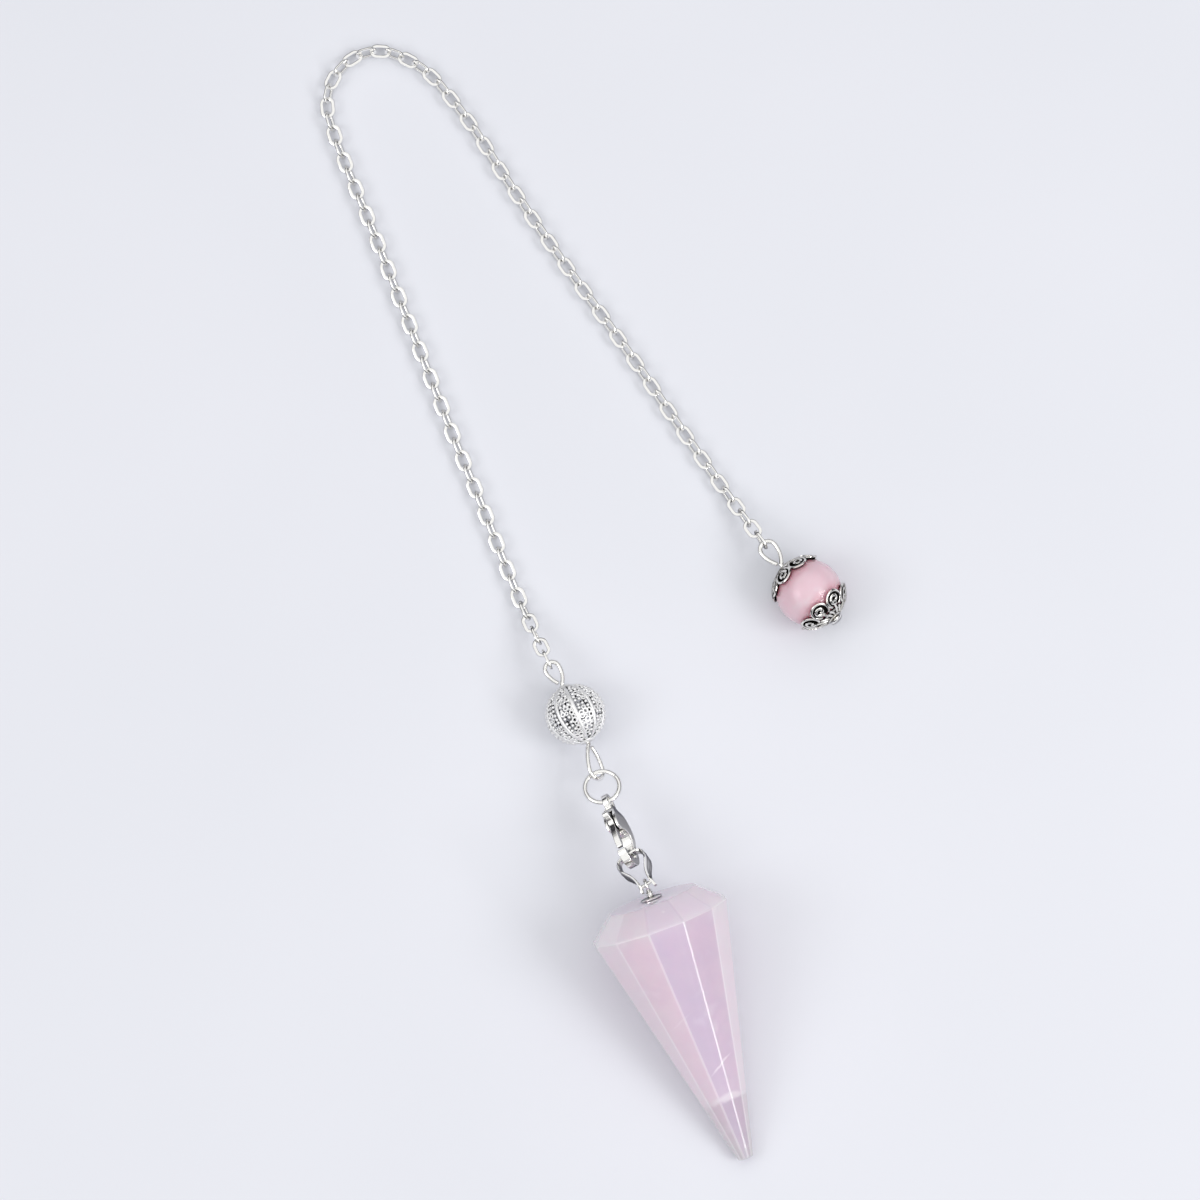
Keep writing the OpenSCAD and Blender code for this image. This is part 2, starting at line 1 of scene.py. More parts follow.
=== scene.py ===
# Dowsing pendulum lying on pale paper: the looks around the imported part.
# Lengths in the settings are millimetres and angles are degrees, unless a note says otherwise.
import math
import random
from functools import partial

import bmesh
import bpy
from mathutils import Matrix, Vector


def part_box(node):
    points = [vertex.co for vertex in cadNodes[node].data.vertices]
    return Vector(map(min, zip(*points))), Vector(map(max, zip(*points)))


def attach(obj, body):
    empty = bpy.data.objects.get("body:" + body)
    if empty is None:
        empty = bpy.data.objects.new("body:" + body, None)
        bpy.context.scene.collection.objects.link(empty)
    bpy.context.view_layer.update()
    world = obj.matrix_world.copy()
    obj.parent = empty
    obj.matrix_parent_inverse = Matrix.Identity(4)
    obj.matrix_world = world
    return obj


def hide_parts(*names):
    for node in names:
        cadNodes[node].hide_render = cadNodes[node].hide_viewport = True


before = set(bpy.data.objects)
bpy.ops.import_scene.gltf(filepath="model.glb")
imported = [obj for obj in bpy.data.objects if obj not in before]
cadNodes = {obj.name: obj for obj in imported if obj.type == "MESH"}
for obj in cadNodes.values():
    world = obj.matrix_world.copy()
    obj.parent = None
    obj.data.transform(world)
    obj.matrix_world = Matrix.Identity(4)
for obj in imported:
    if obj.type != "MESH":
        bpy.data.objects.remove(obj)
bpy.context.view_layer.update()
metres = 0.001
print("frame loaded:", len(cadNodes), "CAD nodes")

# How the pieces lie, repeated from the part's source
layout = {
    "beadAt": (-3.7, -17.9), "roundAt": (31.5, 0.6), "fitGap": 0.23, "seatGap": 0.08, "loopStem": 0.3,
    "pinHeading": 24, "lowerLean": -8, "upperLean": 8, "lowerRoll": -45, "upperRoll": 6, "ringHeading": 20,
    "claspHeading": 20, "bailHeading": 30, "bailLean": 8, "stoneHeading": 20.5,
    "eyeRoll": 5, "endHeading": 44, "endLean": -6,
}
stoneSize = {"girdle": 21.4, "taper": 37.8, "crown": 3.4, "table": 13.6, "tip": 2.4, "sides": 12,
             "bevel": 0.17, "pegHole": 1.36, "pegDepth": 3.08}
capSize = {"flange": 3.2, "flangeDepth": 0.5, "collar": 1.15, "collarHeight": 0.8, "peg": 1.2,
           "pegLength": 3, "eyeHole": 1.2, "eyeWire": 0.5}
bailSize = {"hold": 5.3, "reach": 0.9, "width": 4.7, "leaf": 3.8, "fold": 1.7, "band": 0.4, "prong": 0.55}
claspSize = {"length": 12.7, "eye": 2.7, "eyeHole": 1.75}
ringSize = {"outer": 5.9, "wire": 0.7}
beadSize = {"outer": 9.3, "ribs": 10, "ribWidth": 0.7, "ribHeight": 0.15}
pinSize = {"wire": 0.65, "upperLength": 4.2, "upperWidth": 2.9, "lowerLength": 5.8, "lowerWidth": 3.4}
linkSize = {"length": 3.35, "width": 2.25, "wire": 0.45, "play": 0.13, "open": -14, "stand": 66,
            "twist": 18, "dropRun": 13}
endSize = {"bead": 10, "hole": 1, "capOuter": 9.4, "sheet": 0.4, "scroll": 0.22, "scrollWire": 0.3,
           "petals": 8, "wire": 0.7, "loopLength": 4.8, "loopWidth": 3.2, "head": 2}


def way(heading, slope):
    h, s = math.radians(heading), math.radians(slope)
    return Vector((math.sin(h) * math.cos(s), -math.cos(h) * math.cos(s), math.sin(s)))


def turned(degrees, axis):
    return Matrix.Rotation(math.radians(degrees), 4, axis)


# Places of the pieces, worked out as the source does
gap = layout["fitGap"]
flatShare = math.cos(math.pi / stoneSize["sides"]) / 2
girdleFlat, tipFlat = stoneSize["girdle"] * flatShare, stoneSize["tip"] * flatShare
stoneSlope = math.degrees(math.atan((girdleFlat - tipFlat) / stoneSize["taper"]))
eyeRise = capSize["flangeDepth"] + capSize["collarHeight"] + capSize["eyeHole"] / 2 + capSize["eyeWire"] / 2
eyeToTip = eyeRise + stoneSize["crown"] + stoneSize["taper"]
eyeHeight = tipFlat + (girdleFlat - tipFlat) * eyeToTip / stoneSize["taper"]
eyeHeight *= math.cos(math.radians(stoneSlope))
beadMiddle = Vector((*layout["beadAt"], beadSize["outer"] / 2))
beadBase = beadSize["outer"] / 2 + layout["loopStem"]
pinWay = way(layout["pinHeading"], 0)
lowerHeading = layout["pinHeading"] + layout["lowerLean"]
upperHeading = layout["pinHeading"] + layout["upperLean"]
lowerBase = beadMiddle + pinWay * beadBase
upperBase = beadMiddle - pinWay * beadBase
lowerTip = lowerBase + way(lowerHeading, 0) * (pinSize["lowerLength"] - pinSize["wire"] / 2)
upperTip = upperBase - way(upperHeading, 0) * (pinSize["upperLength"] - pinSize["wire"] / 2)
claspReach = claspSize["length"] - claspSize["eye"] / 2
ringRadius = (ringSize["outer"] - ringSize["wire"]) / 2
claspSlack = claspSize["eyeHole"] / 2 - ringSize["wire"] / 2 - gap
eyeSlack = capSize["eyeHole"] / 2 - bailSize["prong"] / 2 - gap * 0.6
foldReach = claspReach * 0.88 - gap - 0.15
climb = 2 * ringRadius + claspSlack + foldReach + bailSize["hold"]
eyeDrop = math.sin(math.radians(stoneSlope)) * eyeSlack
fitSlope = math.degrees(math.asin((eyeHeight + eyeDrop - beadMiddle.z) / climb))
ringBack = pinSize["wire"] / 2 + ringSize["wire"] / 2 + gap + 0.1
ringHeading = layout["ringHeading"]
ringMiddle = lowerTip - way(ringHeading, 0) * ringBack + way(ringHeading, fitSlope) * ringRadius
ringEnd = ringMiddle + way(ringHeading, fitSlope) * ringRadius
claspEye = ringEnd + way(layout["claspHeading"], fitSlope) * claspSlack
foldAt = claspEye + way(layout["claspHeading"], fitSlope) * foldReach
prongsAt = foldAt + way(layout["bailHeading"], fitSlope) * bailSize["hold"]
eyeAt = prongsAt + way(layout["stoneHeading"], -stoneSlope) * eyeSlack
roundMiddle = Vector((*layout["roundAt"], endSize["bead"] / 2))
sheetInner = endSize["bead"] / 2 + layout["seatGap"]
sheetOuter = sheetInner + endSize["sheet"]
scrollOuter = sheetOuter + endSize["scroll"]
petalRadius = endSize["capOuter"] * 0.16
capEdge = math.asin(endSize["capOuter"] / 2 / sheetOuter)
petalAngle = math.degrees(capEdge - math.asin(petalRadius / sheetOuter))


# Lean of the round bead, at which two scrolls of its cap are close above the paper
def leanOfBead():
    along = math.cos(math.radians(petalAngle))
    down = math.sin(math.radians(petalAngle)) * math.cos(math.pi / endSize["petals"])
    scrollRadius = petalRadius - endSize["scrollWire"] * 0.9
    touch = math.acos(endSize["bead"] / 2 / scrollOuter)
    touch += math.asin((scrollRadius + endSize["scrollWire"] / 2) / sheetOuter)
    lean = math.asin(min(1, math.cos(touch) / math.hypot(along, down))) - math.atan(down / along)
    return max(0, math.degrees(lean) - 2.5)


endSlope = leanOfBead()
endBase = scrollOuter + layout["loopStem"]
endWay = way(layout["endHeading"] + layout["endLean"], endSlope)
endTip = roundMiddle - way(layout["endHeading"], endSlope) * endBase
endTip -= endWay * (endSize["loopLength"] - endSize["wire"] / 2)
lowCorner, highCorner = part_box("round_bead")
origin = roundMiddle - (lowCorner + highCorner) / 2 / metres
print("places: fit slope %.3f, end lean %.3f, origin %.4f %.4f %.4f" % (fitSlope, endSlope, *origin))


def lay(place, heading, slope, roll=0):
    turn = turned(heading - 90, "Z") @ turned(-slope, "Y") @ turned(roll, "X")
    return Matrix.Translation(place - origin) @ turn


stonePlace = lay(eyeAt, layout["stoneHeading"], -stoneSlope)
beadPlace = lay(beadMiddle, layout["pinHeading"], 0)
endPlace = lay(roundMiddle, layout["endHeading"], endSlope)


def linearColour(hexValue):
    channels = [int(hexValue[i:i + 2], 16) / 255 for i in (0, 2, 4)]
    return tuple(c / 12.92 if c <= 0.04045 else ((c + 0.055) / 1.055) ** 2.4 for c in channels) + (1,)


# Adds one node; a value may be a number, a colour, a socket or another node
def addNode(tree, kind, inputs=(), operation=None, **settings):
    node = tree.nodes.new(kind)
    if operation:
        node.operation = operation
    for name, value in settings.items():
        setattr(node, name, value)
    for key, value in dict(inputs).items():
        if isinstance(value, bpy.types.Node):
            value = value.outputs[0]
        if isinstance(value, bpy.types.NodeSocket):
            tree.links.new(value, node.inputs[key])
        else:
            node.inputs[key].default_value = value
    return node


# Empty material, what adds a node to it, and the place of each point on the piece
def startMaterial(name):
    material = bpy.data.materials.new(name)
    material.use_nodes = True
    tree = material.node_tree
    tree.nodes.clear()
    return material, partial(addNode, tree), addNode(tree, "ShaderNodeTexCoord").outputs["Object"]


def endMaterial(material, surface):
    addNode(material.node_tree, "ShaderNodeOutputMaterial", {"Surface": surface})
    return material


def addObject(name, data):
    made = bpy.data.objects.new(name, data)
    bpy.context.scene.collection.objects.link(made)
    return made


# Camera at the photograph's angle: 80 degrees above the paper, long lens
cameraSetup = {"elevation": 80, "distance": 850, "lens": 168.3, "sensor": 36, "aimUp": 0.33}
cameraData = bpy.data.cameras.new("photoCamera")
cameraData.lens = cameraSetup["lens"]
cameraData.sensor_width = cameraData.sensor_height = cameraSetup["sensor"]
cameraData.clip_start, cameraData.clip_end = 0.01, 20
camera = addObject("photoCamera", cameraData)
aim = Vector((-origin.x, cameraSetup["aimUp"] - origin.y, 0))
raised = math.radians(cameraSetup["elevation"])
back = Vector((0, -math.cos(raised), math.sin(raised)))
camera.location = (aim + back * cameraSetup["distance"]) * metres
camera.rotation_euler = (-back).to_track_quat("-Z", "Y").to_euler()
bpy.context.scene.camera = camera

# Paper and room; the room turns from black through dark to white at three heights
stageLook = {"paperSize": 4000, "ceiling": 0.95, "boxAway": 1.0,
             "roomDark": 0.02, "roomWall": 0.36, "roomBright": 0.54}
# Each softbox: the way to it, its width in metres, its power in watts
softboxes = {
    "keySoftbox": ((0.68, -0.165, 0.69), 0.4, 2.2),
    "lowStrip": ((0.74, -0.52, 0.53), 0.16, 0.6),
    "fillSoftbox": ((-0.70, -0.21, 0.67), 0.45, 1.4),
}


# Matt white card: a soft, even, slightly blue white without gloss
def paperMaterial():
    material, add, where = startMaterial("matPaper")
    cloud = add("ShaderNodeTexNoise", {"Vector": where, "Scale": 14, "Detail": 2})
    tint = add("ShaderNodeValToRGB", {"Fac": cloud.outputs["Fac"]})
    tint.color_ramp.elements[0].color = linearColour("E2E4EB")
    tint.color_ramp.elements[1].color = linearColour("E9EAF1")
    sheet = add("ShaderNodeBsdfPrincipled", {
        "Base Color": tint, "Roughness": 0.75, "Specular IOR Level": 0.2})
    return endMaterial(material, sheet)


def buildStage():
    half = stageLook["paperSize"] / 2 * metres
    mesh = bpy.data.meshes.new("paper")
    corners = [(-half, -half, 0), (half, -half, 0), (half, half, 0), (-half, half, 0)]
    mesh.from_pydata(corners, [], [(0, 1, 2, 3)])
    paper = addObject("paper", mesh)
    mesh.materials.append(paperMaterial())
    for name, (direction, size, power) in softboxes.items():
        data = bpy.data.lights.new(name, "AREA")
        data.shape, data.size, data.energy = "SQUARE", size, power
        light = addObject(name, data)
        light.location = Vector(direction) * stageLook["boxAway"]
        light.rotation_euler = (-Vector(direction)).to_track_quat("-Z", "Y").to_euler()
    world = bpy.data.worlds.new("room")
    world.use_nodes = True
    tree = world.node_tree
    tree.nodes.clear()
    where = addNode(tree, "ShaderNodeTexCoord").outputs["Generated"]
    split = addNode(tree, "ShaderNodeSeparateXYZ", {"Vector": where})
    height = addNode(tree, "ShaderNodeValToRGB", {"Fac": split.outputs["Z"]})
    low, high = height.color_ramp.elements
    low.position, low.color = stageLook["roomDark"], (0.03, 0.03, 0.035, 1)
    high.position, high.color = stageLook["roomBright"], (1, 1, 1, 1)
    wall = height.color_ramp.elements.new(stageLook["roomWall"])
    wall.color = (0.05, 0.05, 0.055, 1)
    glow = addNode(tree, "ShaderNodeBackground", {"Color": height, "Strength": stageLook["ceiling"]})
    addNode(tree, "ShaderNodeOutputWorld", {"Surface": glow})
    bpy.context.scene.world = world
    bpy.context.scene.view_settings.view_transform = "Standard"


buildStage()
print("stage built")


# Superellipse section of a wire: width across the wire's side, depth along its up
def section(width, depth, corners=12, power=2.0):
    ring = []
    for i in range(corners):
        angle = 2 * math.pi * (i + 0.5) / corners
        c, s = math.cos(angle), math.sin(angle)
        across = math.copysign(abs(c) ** (2 / power), c) * width / 2
        ring.append((across, math.copysign(abs(s) ** (2 / power), s) * depth / 2))
    return ring


# Quads between the rings of a tube
def tubeFaces(rings, corners, closed):
    faces = []
    for i in range(rings if closed else rings - 1):
        a, b = i * corners, (i + 1) % rings * corners
        for k in range(corners):
            n = (k + 1) % corners
            faces.append((a + k, a + n, b + n, b + k))
    return faces


# Wire along points; ups holds one direction for the depth of the section at each point
def sweep(points, ring, ups, closed=False, scales=None):
    count, corners = len(points), len(ring)
    vertices = []
    for i, point in enumerate(points):
        before = points[i - 1] if closed or i else points[0]
        after = points[(i + 1) % count] if closed or i < count - 1 else points[i]
        along = (after - before).normalized()
        up = (ups[i] - along * ups[i].dot(along)).normalized()
        side = along.cross(up)
        size = scales[i] if scales else 1
        vertices += [point + (side * a + up * b) * size for a, b in ring]
    faces = tubeFaces(count, corners, closed)
    if not closed:
        faces += [tuple(range(corners))[::-1], tuple((count - 1) * corners + k for k in range(corners))]
    return vertices, faces


# Round wire with its ends rounded off
def wire(points, diameter, corners=12):
    ends = [0.5, 0.8, 0.95]
    first = (points[1] - points[0]).normalized()
    last = (points[-1] - points[-2]).normalized()
    cap = diameter / 2 * 0.6
    start = [points[0] - first * math.sqrt(1 - s * s) * cap for s in ends]
    finish = [points[-1] + last * math.sqrt(1 - s * s) * cap for s in ends[::-1]]
    line = start + list(points) + finish
    scales = ends + [1.0] * len(points) + ends[::-1]
    return sweep(line, section(diameter, diameter, corners), [Vector((0, 0, 1))] * len(line), scales=scales)


# Turns a closed profile of (x, radius) pairs round the x axis
def lathe(profile, steps=48):
    vertices = [Vector((x, r * math.cos(2 * math.pi * k / steps), r * math.sin(2 * math.pi * k / steps)))
                for x, r in profile for k in range(steps)]
    return vertices, tubeFaces(len(profile), steps, True)


def moved(part, matrix):
    return [matrix @ v for v in part[0]], part[1]


def fillMesh(name, parts):
    vertices, faces = [], []
    for partVertices, partFaces in parts:
        first = len(vertices)
        vertices += [tuple(v) for v in partVertices]
        faces += [tuple(first + i for i in face) for face in partFaces]
    mesh = bpy.data.meshes.new(name)
    mesh.from_pydata(vertices, [], faces)
    return mesh


# Closes and turns the faces outwards, goes to metres in the layout, and smooths all but sharp edges
def finishMesh(mesh, place, sharp, merge=0.002):
    shape = bmesh.new()
    shape.from_mesh(mesh)
    bmesh.ops.remove_doubles(shape, verts=shape.verts, dist=merge)
    bmesh.ops.dissolve_degenerate(shape, edges=shape.edges, dist=merge / 4)
    bmesh.ops.recalc_face_normals(shape, faces=shape.faces)
    bmesh.ops.transform(shape, matrix=Matrix.Scale(metres, 4) @ place, verts=shape.verts)
    shape.to_mesh(mesh)
    shape.free()
    smoothMesh(mesh, sharp)
    return mesh


def smoothMesh(mesh, sharp):
    mesh.shade_smooth()
    mesh.set_sharp_from_angle(angle=math.radians(sharp))


def showPiece(name, mesh, look, nodes, body="pendulum"):
    piece = addObject(name, mesh)
    mesh.materials.clear()
    mesh.materials.append(look)
    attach(piece, body)
    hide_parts(*nodes)
    print("piece", name, len(mesh.polygons), "faces")


# Keeps what an object's modifiers make as a plain mesh
def baked(name, carrier):
    made = bpy.data.meshes.new_from_object(carrier.evaluated_get(bpy.context.evaluated_depsgraph_get()))
    bpy.data.objects.remove(carrier)
    made.name = name
    return made


# Grows a mesh with a Geometry Nodes tree
def grow(name, baseMesh, tree, values):
    carrier = addObject(name + "Carrier", baseMesh)
    modifier = carrier.modifiers.new("grow", "NODES")
    modifier.node_group = tree
    for item in tree.interface.items_tree:
        if item.item_type == "SOCKET" and item.in_out == "INPUT" and item.name in values:
            modifier[item.identifier] = values[item.name]
    carrier.update_tag()
    return baked(name, carrier)


def startTree(name, sockets):
    tree = bpy.data.node_groups.new(name, "GeometryNodeTree")
    tree.interface.new_socket(name="Base", in_out="INPUT", socket_type="NodeSocketGeometry")
    for socketName, kind in sockets.items():
        tree.interface.new_socket(name=socketName, in_out="INPUT", socket_type="NodeSocket" + kind)
    tree.interface.new_socket(name="Result", in_out="OUTPUT", socket_type="NodeSocketGeometry")
    return tree, partial(addNode, tree), addNode(tree, "NodeGroupInput").outputs


# Realises the instances, sets the material and closes the tree
def endTree(tree, geometry, look):
    solid = addNode(tree, "GeometryNodeRealizeInstances", {"Geometry": geometry})
    dressed = addNode(tree, "GeometryNodeSetMaterial", {"Geometry": solid, "Material": look})
    addNode(tree, "NodeGroupOutput", {"Result": dressed})
    return tree


# Tumbled silver plate over brass wire: near white, mirrors the room, and has thin dark edges where it turns
# away; its grain is drawn 0.25 mm wide, coarser than the real one, so that it shows
plateLook = {"tint": "FCFBF8", "edge": "66666C", "roughness": (0.07, 0.18), "grain": 0.25, "dents": 1.5,
             "dentDepth": 0.05}
# Dark tone: the caps' black oxide, and painted shade in the pierced bead's holes
oxideAndShadeLook = {"tint": "1C1A17", "roughness": 0.6, "patch": 0.4, "smear": 0.1}


def plateMaterial():
    material, add, where = startMaterial("matSilverPlate")
    fine = add("ShaderNodeTexNoise", {
        "Vector": where, "Scale": 1 / (plateLook["grain"] * metres), "Detail": 3})
    wide = add("ShaderNodeTexNoise", {
        "Vector": where, "Scale": 1 / (plateLook["dents"] * metres), "Detail": 1})
    smooth, dull = plateLook["roughness"]
    rough = add("ShaderNodeMapRange", {"Value": fine.outputs["Fac"], 1: 0.3, 2: 0.7, 3: smooth, 4: dull})
    bump = add("ShaderNodeBump", {
        "Height": wide.outputs["Fac"], "Strength": 0.25, "Distance": plateLook["dentDepth"] * metres})
    metal = add("ShaderNodeBsdfPrincipled", {
        "Base Color": linearColour(plateLook["tint"]), "Metallic": 1, "Roughness": rough, "Normal": bump,
        "Specular Tint": linearColour(plateLook["edge"])})
    return endMaterial(material, metal)


# Cast silver plate: dark below one distance from the middle of a bead and bright above another, which draws
# the ornament in black and white; on the caps the dark is black oxide, antiqued and rubbed off above; in the
# pierced bead it is painted shade in the holes
def oxideAndShadeMaterial(name, middle, low, high, tint, roughness, metallic=1.0):
    material, add, where = startMaterial(name)
    fromMiddle = add("ShaderNodeVectorMath", {0: where, 1: tuple((middle - origin) * metres)}, "SUBTRACT")
    height = add("ShaderNodeVectorMath", {0: fromMiddle}, "LENGTH").outputs["Value"]
    patch = add("ShaderNodeTexNoise", {
        "Vector": where, "Scale": 1 / (oxideAndShadeLook["patch"] * metres), "Detail": 2})
    smear = add("ShaderNodeMath", {
        0: patch.outputs["Fac"], 1: oxideAndShadeLook["smear"] * metres, 2: height}, "MULTIPLY_ADD")
    lift = oxideAndShadeLook["smear"] / 2
    raisedShare = add("ShaderNodeMapRange", {
        "Value": smear, 1: (low + lift) * metres, 2: (high + lift) * metres})
    colour = add("ShaderNodeMix", {
        0: raisedShare, 6: linearColour(oxideAndShadeLook["tint"]), 7: linearColour(tint)}, data_type="RGBA")
    rough = add("ShaderNodeMapRange", {"Value": raisedShare, 3: oxideAndShadeLook["roughness"], 4: roughness})
    metal = add("ShaderNodeBsdfPrincipled", {
        "Base Color": colour.outputs[2], "Metallic": metallic, "Roughness": rough,
        "Specular Tint": linearColour(plateLook["edge"])})
    return endMaterial(material, metal)


brightSilver = plateMaterial()
# Bead caps: brightly rubbed scrolls over dark recesses
capSilver = oxideAndShadeMaterial(
    "matSilverAntiqued", roundMiddle, sheetOuter - 0.11, sheetOuter + 0.05, "F6F4EF", 0.18)
# Frosted silver grains of the pierced bead: white and scattered, with painted shade that makes them dark only
# in the holes
laceSilver = oxideAndShadeMaterial("matSilverLace", beadMiddle, 4.22, 4.34, "FFFFFF", 0.45, 0.7)


def showPlate(name, parts, node, place=Matrix.Identity(4), sharp=50):
    showPiece(name, finishMesh(fillMesh(name, parts), place, sharp), brightSilver, [node])


# Chain: soldered links of wire that was rolled flat, each turned against the last
chainSize = {"wireWidth": 0.5, "wireGrowth": 0.05, "wireDepth": 0.36, "bends": 7, "longLinks": 47}
chainRoute = [
    (-10.8, -3), (-14.5, 6), (-18, 15), (-21.5, 23.5), (-25, 32.5), (-28.5, 41.5), (-32, 50.5),
    (-35.5, 59.5), (-39.2, 68.5), (-41.2, 74), (-42, 78), (-40.8, 82), (-37.8, 85), (-34, 86),
    (-30.5, 85), (-26.5, 82.5), (-23, 78.5), (-19, 73), (-14.9, 66.4), (-9.5, 58.2), (-4, 50.2),
    (1.5, 42.5), (7, 34.5), (12.3, 26.5), (17.8, 18.6)]


def smoothLine(points, steps):
    line = []
    for i in range(len(points) - 1):
        b, c = points[i], points[i + 1]
        a = points[i - 1] if i else 2 * b - c
        d = points[i + 2] if i < len(points) - 2 else 2 * c - b
        for k in range(steps):
            t = k / steps
            line.append(0.5 * (2 * b + (c - a) * t + (2 * a - 5 * b + 4 * c - d) * t ** 2
                               + (3 * b - a - 3 * c + d) * t ** 3))
    return line + [points[-1]]


def distances(line):
    run = [0.0]
    for a, b in zip(line, line[1:]):
        run.append(run[-1] + (b - a).length)
    return run


def pointAt(line, run, distance):
    for i in range(len(line) - 1):
        if distance <= run[i + 1] or i == len(line) - 2:
            return line[i].lerp(line[i + 1], (distance - run[i]) / (run[i + 1] - run[i]))


# Middle and turn of each link, as the source works them out
def chainPlaces():
    radius = (linkSize["width"] - linkSize["wire"]) / 2
    restHeight = radius * math.sin(math.radians(linkSize["stand"])) + linkSize["wire"] / 2
    start = upperTip + way(upperHeading, 0) * (pinSize["wire"] / 2 + gap - linkSize["play"] / 2)
    end = endTip + endWay * (endSize["wire"] / 2 + gap - linkSize["play"] / 2)
    flat = smoothLine([start.xy, *[Vector(p) for p in chainRoute], end.xy], 8)
    flatRun = distances(flat)

    def fade(s):
        return max(0, 1 - s / linkSize["dropRun"])

    def drop(s):
        return fade(s) ** 2 * (2 - fade(s))

    startRise, endRise = start.z - restHeight, end.z - restHeight
    line = [Vector((*p, restHeight + startRise * drop(s) + endRise * drop(flatRun[-1] - s)))
            for p, s in zip(flat, flatRun)]
    run = distances(line)
    room = linkSize["length"] - 2 * linkSize["wire"] - linkSize["play"]
    links = 2 * math.ceil((run[-1] / room - 1) / 2) + 1
    pitch = run[-1] / links
    ends = [pointAt(line, run, k * pitch) for k in range(links + 1)]
    places = []
    for k in range(links):
        step = ends[k + 1] - ends[k]
        roll = linkSize["stand"] if k % 2 == 0 else linkSize["open"]
        twist = fade(k * pitch) + fade((links - 1 - k) * pitch)
        turn = (math.radians(roll + linkSize["twist"] * twist),
                -math.asin(step.z / step.length), math.atan2(step.y, step.x))
        places.append(((ends[k] + ends[k + 1]) / 2 - origin, turn))
    print("chain:", links, "links over %.1f mm" % run[-1])
    return places


def linkTree(look):
    tree, add, given = startTree("linkRow", {
        "Link Length": "Float", "Link Width": "Float", "Wire Width": "Float", "Wire Depth": "Float",
        "Bends": "Int"})
    long = add("ShaderNodeMath", {0: given["Link Length"], 1: given["Wire Width"]}, "SUBTRACT")
    wide = add("ShaderNodeMath", {0: given["Link Width"], 1: given["Wire Width"]}, "SUBTRACT")
    bend = add("ShaderNodeMath", {0: wide, 1: 0.499}, "MULTIPLY")
    path = add("GeometryNodeCurvePrimitiveQuadrilateral", {"Width": long, "Height": wide})
    oval = add("GeometryNodeFilletCurve", {
        "Curve": path, "Count": given["Bends"], "Radius": bend, "Limit Radius": True}, mode="POLY")
    upright = add("GeometryNodeSetCurveNormal", {"Curve": oval}, mode="Z_UP")
    band = add("GeometryNodeCurvePrimitiveQuadrilateral", {
        "Width": given["Wire Width"], "Height": given["Wire Depth"]})
    edge = add("ShaderNodeMath", {0: given["Wire Depth"], 1: 0.27}, "MULTIPLY")
    rounded = add("GeometryNodeFilletCurve", {
        "Curve": band, "Count": 2, "Radius": edge, "Limit Radius": True}, mode="POLY")
    link = add("GeometryNodeCurveToMesh", {"Curve": upright, "Profile Curve": rounded})
    turn = add("GeometryNodeInputNamedAttribute", {"Name": "turn"}, data_type="FLOAT_VECTOR")
    row = add("GeometryNodeInstanceOnPoints", {
        "Points": given["Base"], "Instance": link,
        "Rotation": add("FunctionNodeEulerToRotation", {"Euler": turn.outputs["Attribute"]})})
    return endTree(tree, row, look)


def buildChain():
    places = chainPlaces()
    tree = linkTree(brightSilver)
    values = {"Link Length": linkSize["length"], "Link Width": linkSize["width"] + chainSize["wireGrowth"],
              "Wire Width": chainSize["wireWidth"], "Wire Depth": chainSize["wireDepth"],
              "Bends": chainSize["bends"]}
    cut = chainSize["longLinks"]
    strands = (("chainLong", places[:cut], "chain_long"), ("chainShort", places[cut:], "chain_short"))
    for name, part, node in strands:
        base = bpy.data.meshes.new(name + "Places")
        base.from_pydata([tuple(p) for p, turn in part], [], [])
        turns = base.attributes.new("turn", "FLOAT_VECTOR", "POINT")
        turns.data.foreach_set("vector", [x for p, turn in part for x in turn])
        strand = finishMesh(grow(name, base, tree, values), Matrix.Identity(4), 30)
        showPiece(name, strand, brightSilver, [node])


buildChain()


# Centre line of a teardrop loop along +x from its base; its short leg's cut end stops beside the base
def loopLine(length, width, diameter, shortBy):
    r = (width - diameter) / 2
    middle = length - width / 2
    bow = (middle ** 2 + r ** 2) / (2 * r)
    leg = math.asin(middle / bow)
    points = []
    for side, cut in ((-1, 0), (1, shortBy / bow)):
        for k in range(13):
            a = math.pi / 2 + (leg - cut) * k / 12
            points.append(Vector((middle + bow * math.cos(a), side * (bow * math.sin(a) - bow + r), 0)))
    arc = [Vector((middle + r * math.cos(a), r * math.sin(a), 0))
           for a in (math.pi * (k / 24 - 0.5) for k in range(1, 24))]
    return points[12::-1] + arc + points[13:]


pinLook = {"shortBy": 0.72, "corners": 14, "slit": 0.03, "slitAt": 110,
           "head": [(0, 0.85), (0.12, 1), (0.3, 0.95), (0.42, 0.7), (0.49, 0.35)]}


def wireLoop(length, width, diameter):
    return wire(loopLine(length, width, diameter, pinLook["shortBy"]), diameter, pinLook["corners"])


def shankWire(start, finish, diameter):
    return wire([Vector((start, 0, 0)), Vector((0, 0, 0)), Vector((finish, 0, 0))], diameter)


